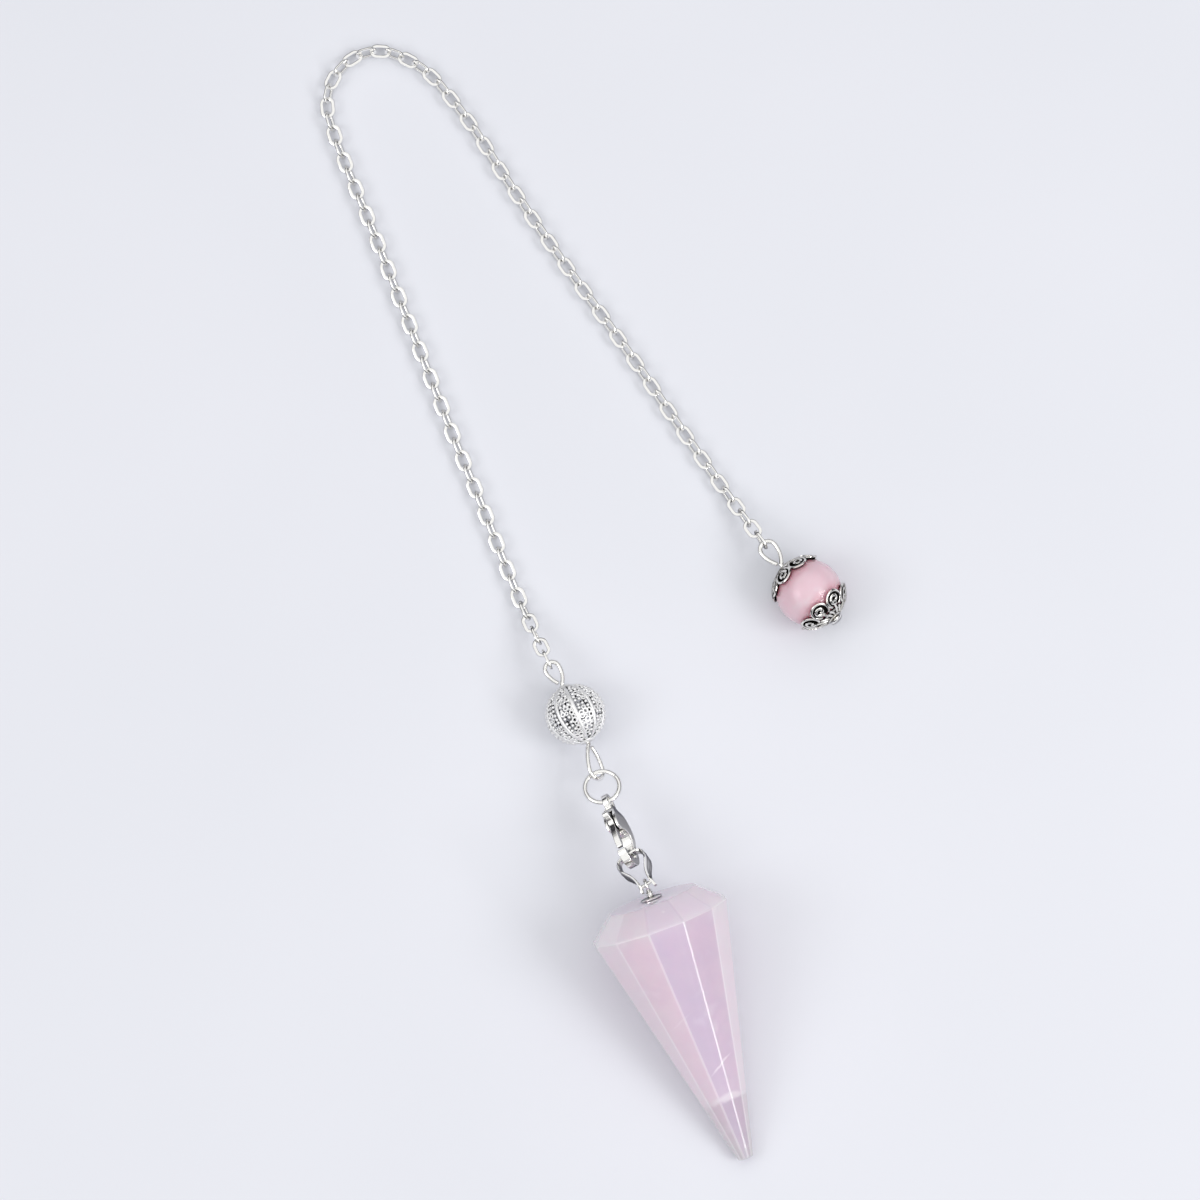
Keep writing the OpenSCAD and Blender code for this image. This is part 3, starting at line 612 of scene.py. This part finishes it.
def buildPins():
    w = pinSize["wire"]
    shank = shankWire(-beadBase - w / 4, beadBase + w / 4, w)
    lower = wireLoop(pinSize["lowerLength"], pinSize["lowerWidth"], w)
    upper = wireLoop(pinSize["upperLength"], pinSize["upperWidth"], w)
    showPlate("beadPin", [
        moved(shank, beadPlace),
        moved(lower, lay(lowerBase, lowerHeading, 0, layout["lowerRoll"])),
        moved(upper, lay(upperBase, upperHeading + 180, 0, layout["upperRoll"]))], "bead_pin")

    w = endSize["wire"]
    top = scrollOuter + layout["seatGap"]
    shank = shankWire(-endBase - w / 4, top + 0.1, w)
    loop = wireLoop(endSize["loopLength"], endSize["loopWidth"], w)
    r = endSize["head"] / 2
    head = [(top + rise, r * share) for rise, share in pinLook["head"]]
    head = lathe([(top, w / 3)] + head + [(top + 0.5, 0.02)])
    turn = Matrix.Translation((-endBase, 0, 0)) @ turned(180 + layout["endLean"], "Z")
    showPlate("endPin", [shank, moved(loop, turn), head], "end_pin", endPlace)


def buildRing():
    r, w, slit = ringRadius, ringSize["wire"], pinLook["slit"]
    turns = [math.radians(pinLook["slitAt"]) + slit + (2 * math.pi - 2 * slit) * k / 72 for k in range(73)]
    line = [Vector((r * math.cos(a), r * math.sin(a), 0)) for a in turns]
    ring = sweep(line, section(w, w, 16), [Vector((0, 0, 1))] * len(line))
    showPlate("jumpRing", [ring], "jump_ring", lay(ringMiddle, ringHeading, fitSlope))


buildPins()
buildRing()


# Bail: one leaf-shaped strip folded over, its two prongs meeting in the cap's eye
bailTable = [(0, 0), (0.005, 0.55), (0.08, 0.88), (0.23, 1), (0.37, 0.98), (0.48, 0.84), (0.6, 0.64),
             (0.72, 0.52), (0.84, 0.5), (1, 0.56)]
bailLook = {"across": 13, "rib": 0.05, "veins": 9, "veinDepth": 0.035}
leafTable = [(0, 0), (0.12, 0.15), (0.3, 0.75), (0.45, 1), (0.6, 0.85), (0.8, 0.2), (0.93, -0.3), (1, -0.5)]


def lookUp(table, x):
    for (x0, y0), (x1, y1) in zip(table, table[1:]):
        if x <= x1:
            return y0 + (y1 - y0) * max(0, x - x0) / (x1 - x0)
    return table[-1][1]


def buildBail():
    length = bailSize["hold"] + bailSize["reach"] + bailSize["band"]
    half, t = bailSize["width"] / 2, bailSize["band"]
    side = smoothLine([Vector((x * length, y * half)) for x, y in bailTable], 5)
    line = [Vector((p.x, -p.y)) for p in side[:0:-1]] + side
    leaf = [(p.x, p.y) for p in smoothLine([Vector(row) for row in leafTable], 4)]
    across = bailLook["across"]
    vertices = []
    for i, p in enumerate(line):
        before, after = line[max(i - 1, 0)], line[min(i + 1, len(line) - 1)]
        along = (after - before).normalized()
        inward = Vector((-along.y, along.x))
        if inward.dot(Vector((length * 0.5, 0)) - p) < 0:
            inward = -inward
        share = p.x / length
        wide = (bailSize["fold"] + lookUp(leaf, share) * (bailSize["leaf"] - bailSize["fold"])) / 2
        for layer in range(2):
            for k in range(across):
                s = -1 + 2 * k / (across - 1)
                edge = 1 - 0.75 * max(0, (abs(s) - 0.8) / 0.2) ** 2
                vein = 0
                if layer == 0 and 0.12 < share < 0.95:
                    vein = bailLook["rib"] * math.exp(-(s / 0.12) ** 2)
                    wave = abs(math.sin(bailLook["veins"] * math.pi * (share - 0.28 * abs(s)))) ** 6
                    vein -= bailLook["veinDepth"] * wave * (1 - abs(s)) ** 0.5
                depth = t / 2 - t / 2 * edge - vein if layer == 0 else t / 2 + t / 2 * edge
                q = p + inward * depth
                vertices.append(Vector((q.x - t, q.y, s * wide)))
    faces = []
    rows, row = len(line), 2 * across
    for i in range(rows - 1):
        for k in range(across - 1):
            a, b = i * row + k, (i + 1) * row + k
            faces += [(a, a + 1, b + 1, b), (a + across, b + across, b + across + 1, a + across + 1)]
        for k in (0, across - 1):
            a, b = i * row + k, (i + 1) * row + k
            faces.append((a, b, b + across, a + across))
    for i in (0, rows - 1):
        for k in range(i * row, i * row + across - 1):
            faces.append((k, k + 1, across + k + 1, across + k))
    reach = lookUp([(p.x, p.y) for p in side], bailSize["hold"] + t)
    clear = layout["seatGap"]
    length = reach - t / 2 - clear
    prongs = []
    for hand in (-1, 1):
        prong = [Vector((bailSize["hold"], hand * (clear + length * k / 4), 0)) for k in range(5)]
        prongs.append(wire(prong, bailSize["prong"]))
    showPlate("leafBail", [(vertices, faces)] + prongs, "bail",
              lay(foldAt, layout["bailHeading"], fitSlope, layout["bailLean"]), 40)


buildBail()


# Cast pieces: a copy of the solid, remeshed fine and tumbled until its edges are round
castLook = {"grain": 0.06, "rounds": 4, "sharp": 60}


def tumbled(name, node):
    mesh = cadNodes[node].data.copy()
    shape = bmesh.new()
    shape.from_mesh(mesh)
    bmesh.ops.remove_doubles(shape, verts=shape.verts, dist=0.001 * metres)
    shape.to_mesh(mesh)
    shape.free()
    blank = addObject(name + "Blank", mesh)
    remesh = blank.modifiers.new("grain", "REMESH")
    remesh.mode, remesh.voxel_size, remesh.adaptivity = "VOXEL", castLook["grain"] * metres, 0
    smooth = blank.modifiers.new("tumble", "SMOOTH")
    smooth.factor, smooth.iterations = 0.5, castLook["rounds"]
    cast = baked(name, blank)
    smoothMesh(cast, castLook["sharp"])
    return cast


def buildClasp():
    for name, node, body in (("claspBody", "clasp_body", "pendulum"), ("claspLever", "clasp_lever", "lever")):
        showPiece(name, tumbled(name, node), brightSilver, [node], body)


buildClasp()


# Turned cap with ribs round its collar, glued on by its peg, and an eye of round wire on top
pegLook = {"ribs": 2, "rib": [(0, 0.7), (0.03, 0.92), (0.11, 1.02), (0.19, 0.92), (0.22, 0.7)], "turns": 48}


def buildPegCap():
    f, c, w, peg = capSize["flange"] / 2, capSize["collar"] / 2, capSize["eyeWire"], capSize["peg"] / 2
    r = (capSize["eyeHole"] + w) / 2
    start, bottom = eyeRise - capSize["flangeDepth"], eyeRise - layout["seatGap"]
    profile = [(r - w / 4, 0.02), (r - w / 4, c * 0.7), (start - 0.66, c * 0.7)]
    for i in range(pegLook["ribs"]):
        x = start - capSize["collarHeight"] * (0.35 + 0.5 * i)
        profile[3:3] = [(x + rise, c * share) for rise, share in pegLook["rib"]]
    profile += [(start, c * 0.72), (start + 0.05, c * 1.2), (start + 0.14, f * 0.75), (start + 0.2, f * 0.95),
                (start + 0.26, f), (bottom - 0.03, f), (bottom, f * 0.98), (bottom, peg)]
    tail = eyeRise + capSize["pegLength"] - layout["seatGap"]
    profile += [(tail - 0.1, peg), (tail, peg - 0.1), (tail, 0.02)]
    turns = [2 * math.pi * k / pegLook["turns"] for k in range(pegLook["turns"])]
    line = [Vector((r * math.cos(a), 0, r * math.sin(a))) for a in turns]
    eye = sweep(line, section(w * 1.05, w, 12), [Vector((0, 1, 0))] * len(line), closed=True)
    showPlate("pegCap", [lathe(profile, 40), moved(eye, turned(layout["eyeRoll"], "X"))], "peg_cap",
              stonePlace, 40)


buildPegCap()


# Pierced silver bead: plain ribs from pole to pole, and between them a lace of little rings and grains
laceLook = {"ringWire": 0.24, "grain": 0.25, "grainShare": 0.55, "seed": 11, "sunk": 0.12, "rows": 7,
            "rowStep": 8.6, "pitch": 0.62, "sizes": (0.22, 0.36), "ribWidth": 0.55, "ribDepth": 0.42,
            "ribRise": 0.1, "ribSteps": 40, "collar": [
                (0.955, 0.5), (0.995, 0.6), (1, 0.85), (0.975, 1.12), (0.93, 1.2), (0.89, 1.0), (0.9, 0.6)]}


def laceTree(look):
    tree, add, given = startTree("laceBead", {"Ring Wire": "Float", "Grain": "Float"})
    size, grain, outward = [
        add("GeometryNodeInputNamedAttribute", {"Name": name}, data_type=kind).outputs["Attribute"]
        for name, kind in (("size", "FLOAT"), ("grain", "BOOLEAN"), ("outward", "FLOAT_VECTOR"))]
    facing = add("FunctionNodeAlignRotationToVector", {"Vector": outward}, axis="Z")
    circle = add("GeometryNodeCurvePrimitiveCircle", {"Resolution": 12, "Radius": 1.0})
    radius = add("ShaderNodeMath", {0: given["Ring Wire"], 1: 0.5}, "MULTIPLY")
    thin = add("GeometryNodeCurvePrimitiveCircle", {"Resolution": 6, "Radius": radius})
    ring = add("GeometryNodeCurveToMesh", {"Curve": circle, "Profile Curve": thin})
    ringed = add("FunctionNodeBooleanMath", {0: grain}, "NOT")
    rings = add("GeometryNodeInstanceOnPoints", {
        "Points": given["Base"], "Instance": ring, "Rotation": facing, "Scale": size, "Selection": ringed})
    ball = add("GeometryNodeMeshIcoSphere", {"Radius": given["Grain"], "Subdivisions": 2})
    balls = add("GeometryNodeInstanceOnPoints", {
        "Points": given["Base"], "Instance": ball, "Rotation": facing, "Selection": grain})
    both = add("GeometryNodeJoinGeometry")
    tree.links.new(rings.outputs[0], both.inputs[0])
    tree.links.new(balls.outputs[0], both.inputs[0])
    return endTree(tree, both, look)


def joined(mesh, other):
    whole = bmesh.new()
    whole.from_mesh(mesh)
    whole.from_mesh(other)
    whole.to_mesh(mesh)
    whole.free()
    return mesh


def buildLaceBead():
    ribs = beadSize["ribs"]
    outer = beadSize["outer"] / 2
    laceRadius = outer - beadSize["ribHeight"] - laceLook["sunk"]
    dice = random.Random(laceLook["seed"])
    points, sizes, grains = [], [], []
    for gore in range(ribs):
        for row in range(-laceLook["rows"], laceLook["rows"] + 1):
            tall = row * laceLook["rowStep"]
            around = laceRadius * math.cos(math.radians(tall))
            room = math.radians(360 / ribs) * around - beadSize["ribWidth"]
            fit = max(1, round(room / laceLook["pitch"]))
            for k in range(fit):
                share = (k + 0.5) / fit - 0.5
                turn = math.radians(gore * 360 / ribs) + share * (room + 0.15) / around
                turn += dice.uniform(-0.02, 0.02)
                rise = math.radians(tall + dice.uniform(-1.6, 1.6))
                flat = math.cos(rise)
                out = Vector((math.sin(rise), flat * math.cos(turn), flat * math.sin(turn)))
                points.append(out * (laceRadius + dice.uniform(-0.03, 0.05)))
                sizes.append(dice.uniform(*laceLook["sizes"]))
                grains.append(dice.random() < laceLook["grainShare"])
    base = bpy.data.meshes.new("lacePlaces")
    base.from_pydata([tuple(p) for p in points], [], [])
    outward = [c for p in points for c in p.normalized()]
    for name, kind, key, values in (("size", "FLOAT", "value", sizes), ("grain", "BOOLEAN", "value", grains),
                                    ("outward", "FLOAT_VECTOR", "vector", outward)):
        base.attributes.new(name, kind, "POINT").data.foreach_set(key, values)
    lace = grow("lace", base, laceTree(laceSilver), {
        "Ring Wire": laceLook["ringWire"] / 0.29, "Grain": laceLook["grain"]})
    rib = section(laceLook["ribWidth"], laceLook["ribDepth"], 10, 2.6)
    turns = [math.radians(14 + 152 * i / laceLook["ribSteps"]) for i in range(laceLook["ribSteps"] + 1)]
    scales = [min(1, 0.45 + 0.9 * math.sin(a)) for a in turns]
    parts = []
    for k in range(ribs):
        angle = math.radians((k + 0.5) * 360 / ribs)
        side = Vector((0, math.cos(angle), math.sin(angle)))
        arc = [Vector((math.cos(a), 0, 0)) + side * math.sin(a) for a in turns]
        line = [p * (outer - laceLook["ribRise"] - laceLook["ribDepth"] / 2) for p in arc]
        parts.append(sweep(line, rib, arc, scales=scales))
    for end in (-1, 1):
        parts.append(lathe([(end * (outer * share), r) for share, r in laceLook["collar"]], 32))
    solid = joined(fillMesh("pierced", parts), lace)
    showPiece("piercedBead", finishMesh(solid, beadPlace, 50), laceSilver, ["filigree_bead"])


buildLaceBead()


# Bead caps: a flower of petals, each with a scroll that curls to its middle, over an openwork crown
capLook = {"rim": 0.36, "scroll": 0.42, "strut": 0.4, "plate": 0.24, "sunk": 0.14, "flare": 0.04,
           "reliefDepth": 0.28, "rings": 5, "spokes": 24, "bands": [(3.0, 13.0, 0.2), (20.0, 24.5, 0.02)]}


# Point on the dome from a petal's own plane: out along the meridian, across, and up from the sheet
def onDome(out, across, up):
    r = sheetOuter
    flatOut = Vector((out, across, math.sqrt(max(0, r * r - out * out - across * across))))
    return turned(petalAngle, "Y") @ (flatOut.normalized() * (r + up))


def domeWire(points, width, depth):
    return sweep(points, section(width, depth, 8, 2.4), [p.normalized() for p in points])


def capPetal():
    r = petalRadius - 0.18
    rim = []
    for k in range(25):
        a = math.radians(-150 + 300 * k / 24)
        flare = capLook["flare"] * max(0, math.cos(a)) ** 2
        rim.append(onDome(r * math.cos(a), r * math.sin(a), 0.04 + flare))
    scroll = []
    for k in range(31):
        share = k / 30
        a = math.radians(195 - 430 * share)
        s = r * (0.64 - 0.46 * share)
        scroll.append(onDome(s * math.cos(a) + 0.08, s * math.sin(a), 0.09))
    parts = [domeWire(rim, capLook["rim"], capLook["reliefDepth"]),
             domeWire(scroll, capLook["scroll"], capLook["reliefDepth"])]
    rings, spokes = capLook["rings"], capLook["spokes"]
    top = [onDome(0, 0, -capLook["sunk"])]
    for i in range(1, rings + 1):
        for k in range(spokes):
            a, out = 2 * math.pi * k / spokes, i / rings
            flare = capLook["flare"] * max(0, math.cos(a)) ** 2 * out ** 2
            top.append(onDome(r * out * math.cos(a), r * out * math.sin(a), flare - capLook["sunk"]))
    under = [p * ((p.length - capLook["plate"]) / p.length) for p in top]
    n = len(top)
    faces = [(0, 1 + k, 1 + (k + 1) % spokes) for k in range(spokes)]
    for i in range(rings - 1):
        for k in range(spokes):
            a, b = 1 + i * spokes + k, 1 + i * spokes + (k + 1) % spokes
            faces.append((a, a + spokes, b + spokes, b))
    faces += [tuple(n + i for i in face[::-1]) for face in list(faces)]
    edge = 1 + (rings - 1) * spokes
    for k in range(spokes):
        a, b = edge + k, edge + (k + 1) % spokes
        faces.append((a, n + a, n + b, b))
    parts.append((top + under, faces))
    step = math.radians(180 / endSize["petals"])
    for start, finish in ((-0.35, 0.35), (0.65, 1.35)):
        strut = []
        for k in range(9):
            share = k / 8
            tilt = math.radians(15 + share * (petalAngle - 17 - 12 * (start > 0)))
            turn = step * (start + (finish - start) * share)
            out = Vector((math.sin(tilt) * math.cos(turn), math.sin(tilt) * math.sin(turn), math.cos(tilt)))
            strut.append(out * (sheetOuter - 0.04))
        parts.append(domeWire(strut, capLook["strut"], capLook["strut"]))
    return parts


def petalTree(look):
    tree, add, given = startTree("petalRing", {"Petals": "Int"})
    centre = add("GeometryNodePoints", {"Count": given["Petals"], "Position": (0, 0, 0), "Radius": 0.1})
    number = add("GeometryNodeInputIndex")
    step = add("ShaderNodeMath", {0: 2 * math.pi, 1: given["Petals"]}, "DIVIDE")
    turn = add("ShaderNodeMath", {0: number, 1: step}, "MULTIPLY")
    euler = add("ShaderNodeCombineXYZ", {"Z": turn})
    ring = add("GeometryNodeInstanceOnPoints", {
        "Points": centre, "Instance": given["Base"],
        "Rotation": add("FunctionNodeEulerToRotation", {"Euler": euler})})
    return endTree(tree, ring, look)


def buildCaps():
    tree = petalTree(capSilver)
    hole = endSize["wire"] / 2 + 0.16
    bands = []
    for low, high, rise in capLook["bands"]:
        inner, outer = sheetInner + 0.03, sheetOuter + rise
        rows = [(inner, low), (outer - 0.06, low), (outer, low + 1.2), (outer, high - 1.2),
                (outer - 0.06, high), (inner, high)]
        rows = [(r, math.radians(a)) for r, a in rows]
        bands.append([(r * math.cos(a), max(hole, r * math.sin(a))) for r, a in rows])
    petals = grow("petals", fillMesh("petal", capPetal()), tree, {"Petals": endSize["petals"]})
    for name, node, flip in (("beadCapTop", "bead_cap_top", -90), ("beadCapBottom", "bead_cap_bottom", 90)):
        mesh = joined(fillMesh(name, [moved(lathe(band, 48), turned(-90, "Y")) for band in bands]), petals)
        place = endPlace @ turned(flip, "Y") @ turned(180 / endSize["petals"], "Z")
        showPiece(name, finishMesh(mesh, place, 50), capSilver, [node])


buildCaps()


# Rose quartz, cut and polished: glassy facets over a cloudy body in which light spreads; its own pink and
# lilac are laid out as painted light and shade, lilac on the middle facets and pinker towards its edges by
# which way each facet faces, with milky veils, painted highlights on the bevelled edges, a whiter crown and a
# clearer tip
quartzLook = {"pink": "FFE9F2", "lilac": "DCCCE2", "milkAndHighlight": "FFFBFD", "clear": 0.16, "clearTip": 0.3,
              "depth": 6, "tipLength": 9, "bend": 2, "edgeHighlight": 0.25, "crownWhite": 0.35}
# Painted light and shade of the facets: how lilac, the darker tone, a facet is painted by how far it faces
# left (-1) or right (1) of the stone
paintedFacetShades = [(-1, 0.1), (-0.84, 0.15), (-0.49, 0.35), (0, 0.8), (0.49, 0.6), (0.84, 0.1), (1, 0)]
# Each veil: mm from the tip, mm to the right, its half length and half width, its angle, its strength
veils = [(9.1, 0.6, 3.6, 0.8, 92, 0.45), (13.5, 1.1, 2.9, 0.25, 60, 0.5), (18.9, 2.2, 1.3, 0.5, 20, 0.15),
         (21.5, -2.5, 2.4, 0.3, 75, 0.12), (37.0, 0.3, 0.6, 0.5, 90, 0.5)]


stoneRight = way(layout["stoneHeading"] + 90, 0)
# For a map whose ends are soft
eased = {"interpolation_type": "SMOOTHSTEP"}


def quartzBody(material, colour, share, depth):
    body = addNode(material.node_tree, "ShaderNodeBsdfPrincipled", {
        "Base Color": colour, "Transmission Weight": share, "Roughness": 0.02, "IOR": 1.544,
        "Subsurface Weight": 1.0, "Subsurface Radius": (1.0, 0.8, 0.9), "Subsurface Scale": depth * metres})
    return endMaterial(material, body)


def pointMaterial():
    material, add, where = startMaterial("matRoseQuartzPoint")
    wisps = add("ShaderNodeTexNoise", {"Vector": where, "Scale": 1 / (5 * metres), "Detail": 4})
    tip = (eyeAt + way(layout["stoneHeading"], -stoneSlope) * eyeToTip - origin) * metres
    fromTip = add("ShaderNodeVectorMath", {0: where, 1: tuple(tip)}, "SUBTRACT")
    warp = add("ShaderNodeVectorMath", {0: wisps.outputs["Color"], 1: (-0.5, -0.5, -0.5)}, "ADD")
    bent = add("ShaderNodeVectorMath", {
        0: warp, 1: (quartzLook["bend"] * metres,) * 3, 2: fromTip}, "MULTIPLY_ADD")
    along, across = [add("ShaderNodeVectorMath", {
        0: bent, 1: tuple(d / metres)}, "DOT_PRODUCT").outputs["Value"]
        for d in (-way(layout["stoneHeading"], 0), stoneRight)]
    facet = add("ShaderNodeAttribute", attribute_name="paintedFacetShade").outputs["Fac"]
    pale = add("ShaderNodeAttribute", attribute_name="pale").outputs["Fac"]
    # Painted facet light and shade, varied by the random wisps, sets how lilac each point is
    shade = add("ShaderNodeMath", {0: wisps.outputs["Fac"], 1: 0.5, 2: facet}, "MULTIPLY_ADD")
    lilacShare = add("ShaderNodeMapRange", {"Value": shade, 1: 0.2, 2: 1.3}, **eased)
    tint = add("ShaderNodeMix", {
        0: lilacShare, 6: linearColour(quartzLook["pink"]),
        7: linearColour(quartzLook["lilac"])}, data_type="RGBA").outputs[2]
    cloud = add("ShaderNodeMapRange", {
        "Value": wisps.outputs["Fac"], 1: 0.55, 2: 0.8, 3: 0, 4: 0.3}, **eased)
    # Milky clouds and veils, with the painted highlight of the bevelled edges and the whiter crown, all mixed
    # in as milk white
    milkAndHighlight = add("ShaderNodeMath", {0: pale, 1: cloud}, "MAXIMUM")
    place = add("ShaderNodeCombineXYZ", {"X": along, "Y": across})
    for mmUp, mmRight, length, width, angle, strength in veils:
        c, s = math.cos(math.radians(angle)), math.sin(math.radians(angle))
        shifted = add("ShaderNodeVectorMath", {0: place, 1: (mmUp, mmRight, 0)}, "SUBTRACT")
        lengthways, sideways = [add("ShaderNodeVectorMath", {
            0: shifted, 1: d}, "DOT_PRODUCT").outputs["Value"]
            for d in ((c / length, s / length, 0), (-s / width, c / width, 0))]
        oval = add("ShaderNodeCombineXYZ", {"X": lengthways, "Y": sideways})
        reach = add("ShaderNodeVectorMath", {0: oval}, "LENGTH").outputs["Value"]
        veil = add("ShaderNodeMapRange", {"Value": reach, 1: 0.3, 2: 1.0, 3: strength, 4: 0}, **eased)
        milkAndHighlight = add("ShaderNodeMath", {0: milkAndHighlight, 1: veil}, "MAXIMUM")
    cloudyWithPaintedLight = add("ShaderNodeMix", {
        0: milkAndHighlight, 6: tint, 7: linearColour(quartzLook["milkAndHighlight"])}, data_type="RGBA")
    clear = add("ShaderNodeMapRange", {
        "Value": along, 1: quartzLook["tipLength"] - 1, 2: quartzLook["tipLength"] + 1,
        3: quartzLook["clearTip"], 4: quartzLook["clear"]}, **eased)
    unveiled = add("ShaderNodeMath", {0: 1.0, 1: milkAndHighlight}, "SUBTRACT")
    share = add("ShaderNodeMath", {0: clear, 1: unveiled}, "MULTIPLY")
    return quartzBody(material, cloudyWithPaintedLight.outputs[2], share, quartzLook["depth"])


# Round bead of rosier quartz: an even, soft pink, with painted shade of the caps that deepens it towards them
beadLook = {"tint": "FAD5DF", "ends": "EE9FB0", "clear": 0.12, "depth": 3, "rim": 0.12}


def beadMaterial():
    material, add, where = startMaterial("matRoseQuartzBead")
    wisps = add("ShaderNodeTexNoise", {"Vector": where, "Scale": 1 / (4 * metres), "Detail": 3})
    axis = way(layout["endHeading"], endSlope)
    fromMiddle = add("ShaderNodeVectorMath", {
        0: where, 1: tuple((roundMiddle - origin) * metres)}, "SUBTRACT")
    along = add("ShaderNodeVectorMath", {0: fromMiddle, 1: tuple(axis / metres)}, "DOT_PRODUCT")
    toCaps = add("ShaderNodeMath", {0: along.outputs["Value"]}, "ABSOLUTE")
    cloud = add("ShaderNodeMapRange", {
        "Value": wisps.outputs["Fac"], 1: 0.5, 2: 0.8, 3: 0, 4: 0.5}, **eased)
    body = add("ShaderNodeMix", {
        0: cloud, 6: linearColour(beadLook["tint"]), 7: linearColour(quartzLook["milkAndHighlight"])}, data_type="RGBA")
    # Painted shade of the caps: a redder pink towards both drilled ends
    paintedCapShade = add("ShaderNodeMapRange", {"Value": toCaps, 1: 1.2, 2: 4.4}, **eased)
    tint = add("ShaderNodeMix", {
        0: paintedCapShade, 6: body.outputs[2], 7: linearColour(beadLook["ends"])}, data_type="RGBA")
    return quartzBody(material, tint.outputs[2], beadLook["clear"], beadLook["depth"])


def buildStone():
    shape = bmesh.new()
    sides = stoneSize["sides"]
    levels = [(stoneSize["tip"] / 2, 0), (stoneSize["girdle"] / 2, stoneSize["taper"]),
              (stoneSize["table"] / 2, stoneSize["taper"] + stoneSize["crown"])]
    rings = [[shape.verts.new((eyeToTip - h, r * math.cos(a), r * math.sin(a)))
              for a in (2 * math.pi * (i + 0.5) / sides for i in range(sides))] for r, h in levels]
    for low, high in zip(rings, rings[1:]):
        for i in range(sides):
            shape.faces.new((low[i], low[(i + 1) % sides], high[(i + 1) % sides], high[i]))
    shape.faces.new(rings[0])
    shape.faces.new(rings[-1])
    bmesh.ops.recalc_face_normals(shape, faces=shape.faces)
    bmesh.ops.bevel(shape, geom=shape.edges, offset=stoneSize["bevel"], segments=3, profile=0.5,
                    affect="EDGES")
    table = min(shape.faces, key=lambda f: f.calc_center_median().x)
    start = table.calc_center_median().x
    rim = list(table.edges)
    shape.faces.remove(table)
    r = stoneSize["pegHole"] / 2
    mouth = [shape.verts.new((start, r * math.cos(a), r * math.sin(a)))
             for a in (2 * math.pi * k / 24 for k in range(24))]
    floor = [shape.verts.new(v.co + Vector((stoneSize["pegDepth"], 0, 0))) for v in mouth]
    hoop = [shape.edges.new((mouth[k], mouth[(k + 1) % 24])) for k in range(24)]
    bmesh.ops.triangle_fill(shape, edges=rim + hoop, use_beauty=True)
    for k in range(24):
        shape.faces.new((mouth[k], floor[k], floor[(k + 1) % 24], mouth[(k + 1) % 24]))
    shape.faces.new(floor)
    shape.normal_update()
    place = stonePlace @ turned(90, "X")
    paintedFacetShade = shape.faces.layers.float.new("paintedFacetShade")
    pale = shape.faces.layers.float.new("pale")
    # Painted light and shade: each facet's lilac share by which way it faces
    for face in shape.faces:
        sideways = (place.to_3x3() @ face.normal).dot(stoneRight)
        wide = 2 * face.calc_area() / face.calc_perimeter()
        onCrown = face.calc_center_median().x < eyeToTip - stoneSize["taper"]
        face[paintedFacetShade] = lookUp(paintedFacetShades, sideways)
        # Bevel strips get a painted highlight, and the crown is painted whiter
        face[pale] = quartzLook["edgeHighlight"] if wide < 0.4 else quartzLook["crownWhite"] if onCrown else 0
    mesh = bpy.data.meshes.new("rosePoint")
    shape.to_mesh(mesh)
    shape.free()
    stone = finishMesh(mesh, place, 0, 0.0005)
    showPiece("rosePoint", stone, pointMaterial(), ["stone"])


def buildRoundBead():
    r, hole = endSize["bead"] / 2, endSize["hole"] / 2
    mouth = hole + beadLook["rim"]
    first = math.asin(mouth / r)
    turns = [first + (math.pi - 2 * first) * k / 64 for k in range(65)]
    profile = [(-r * math.cos(a), r * math.sin(a)) for a in turns]
    inner = math.sqrt(r * r - mouth ** 2) - beadLook["rim"]
    profile += [(inner * (1 - 2 * k / 8), hole) for k in range(9)]
    bead = finishMesh(fillMesh("roseBead", [lathe(profile, 96)]), endPlace, 40)
    showPiece("roseBead", bead, beadMaterial(), ["round_bead"])


buildStone()
buildRoundBead()
print("all pieces made")
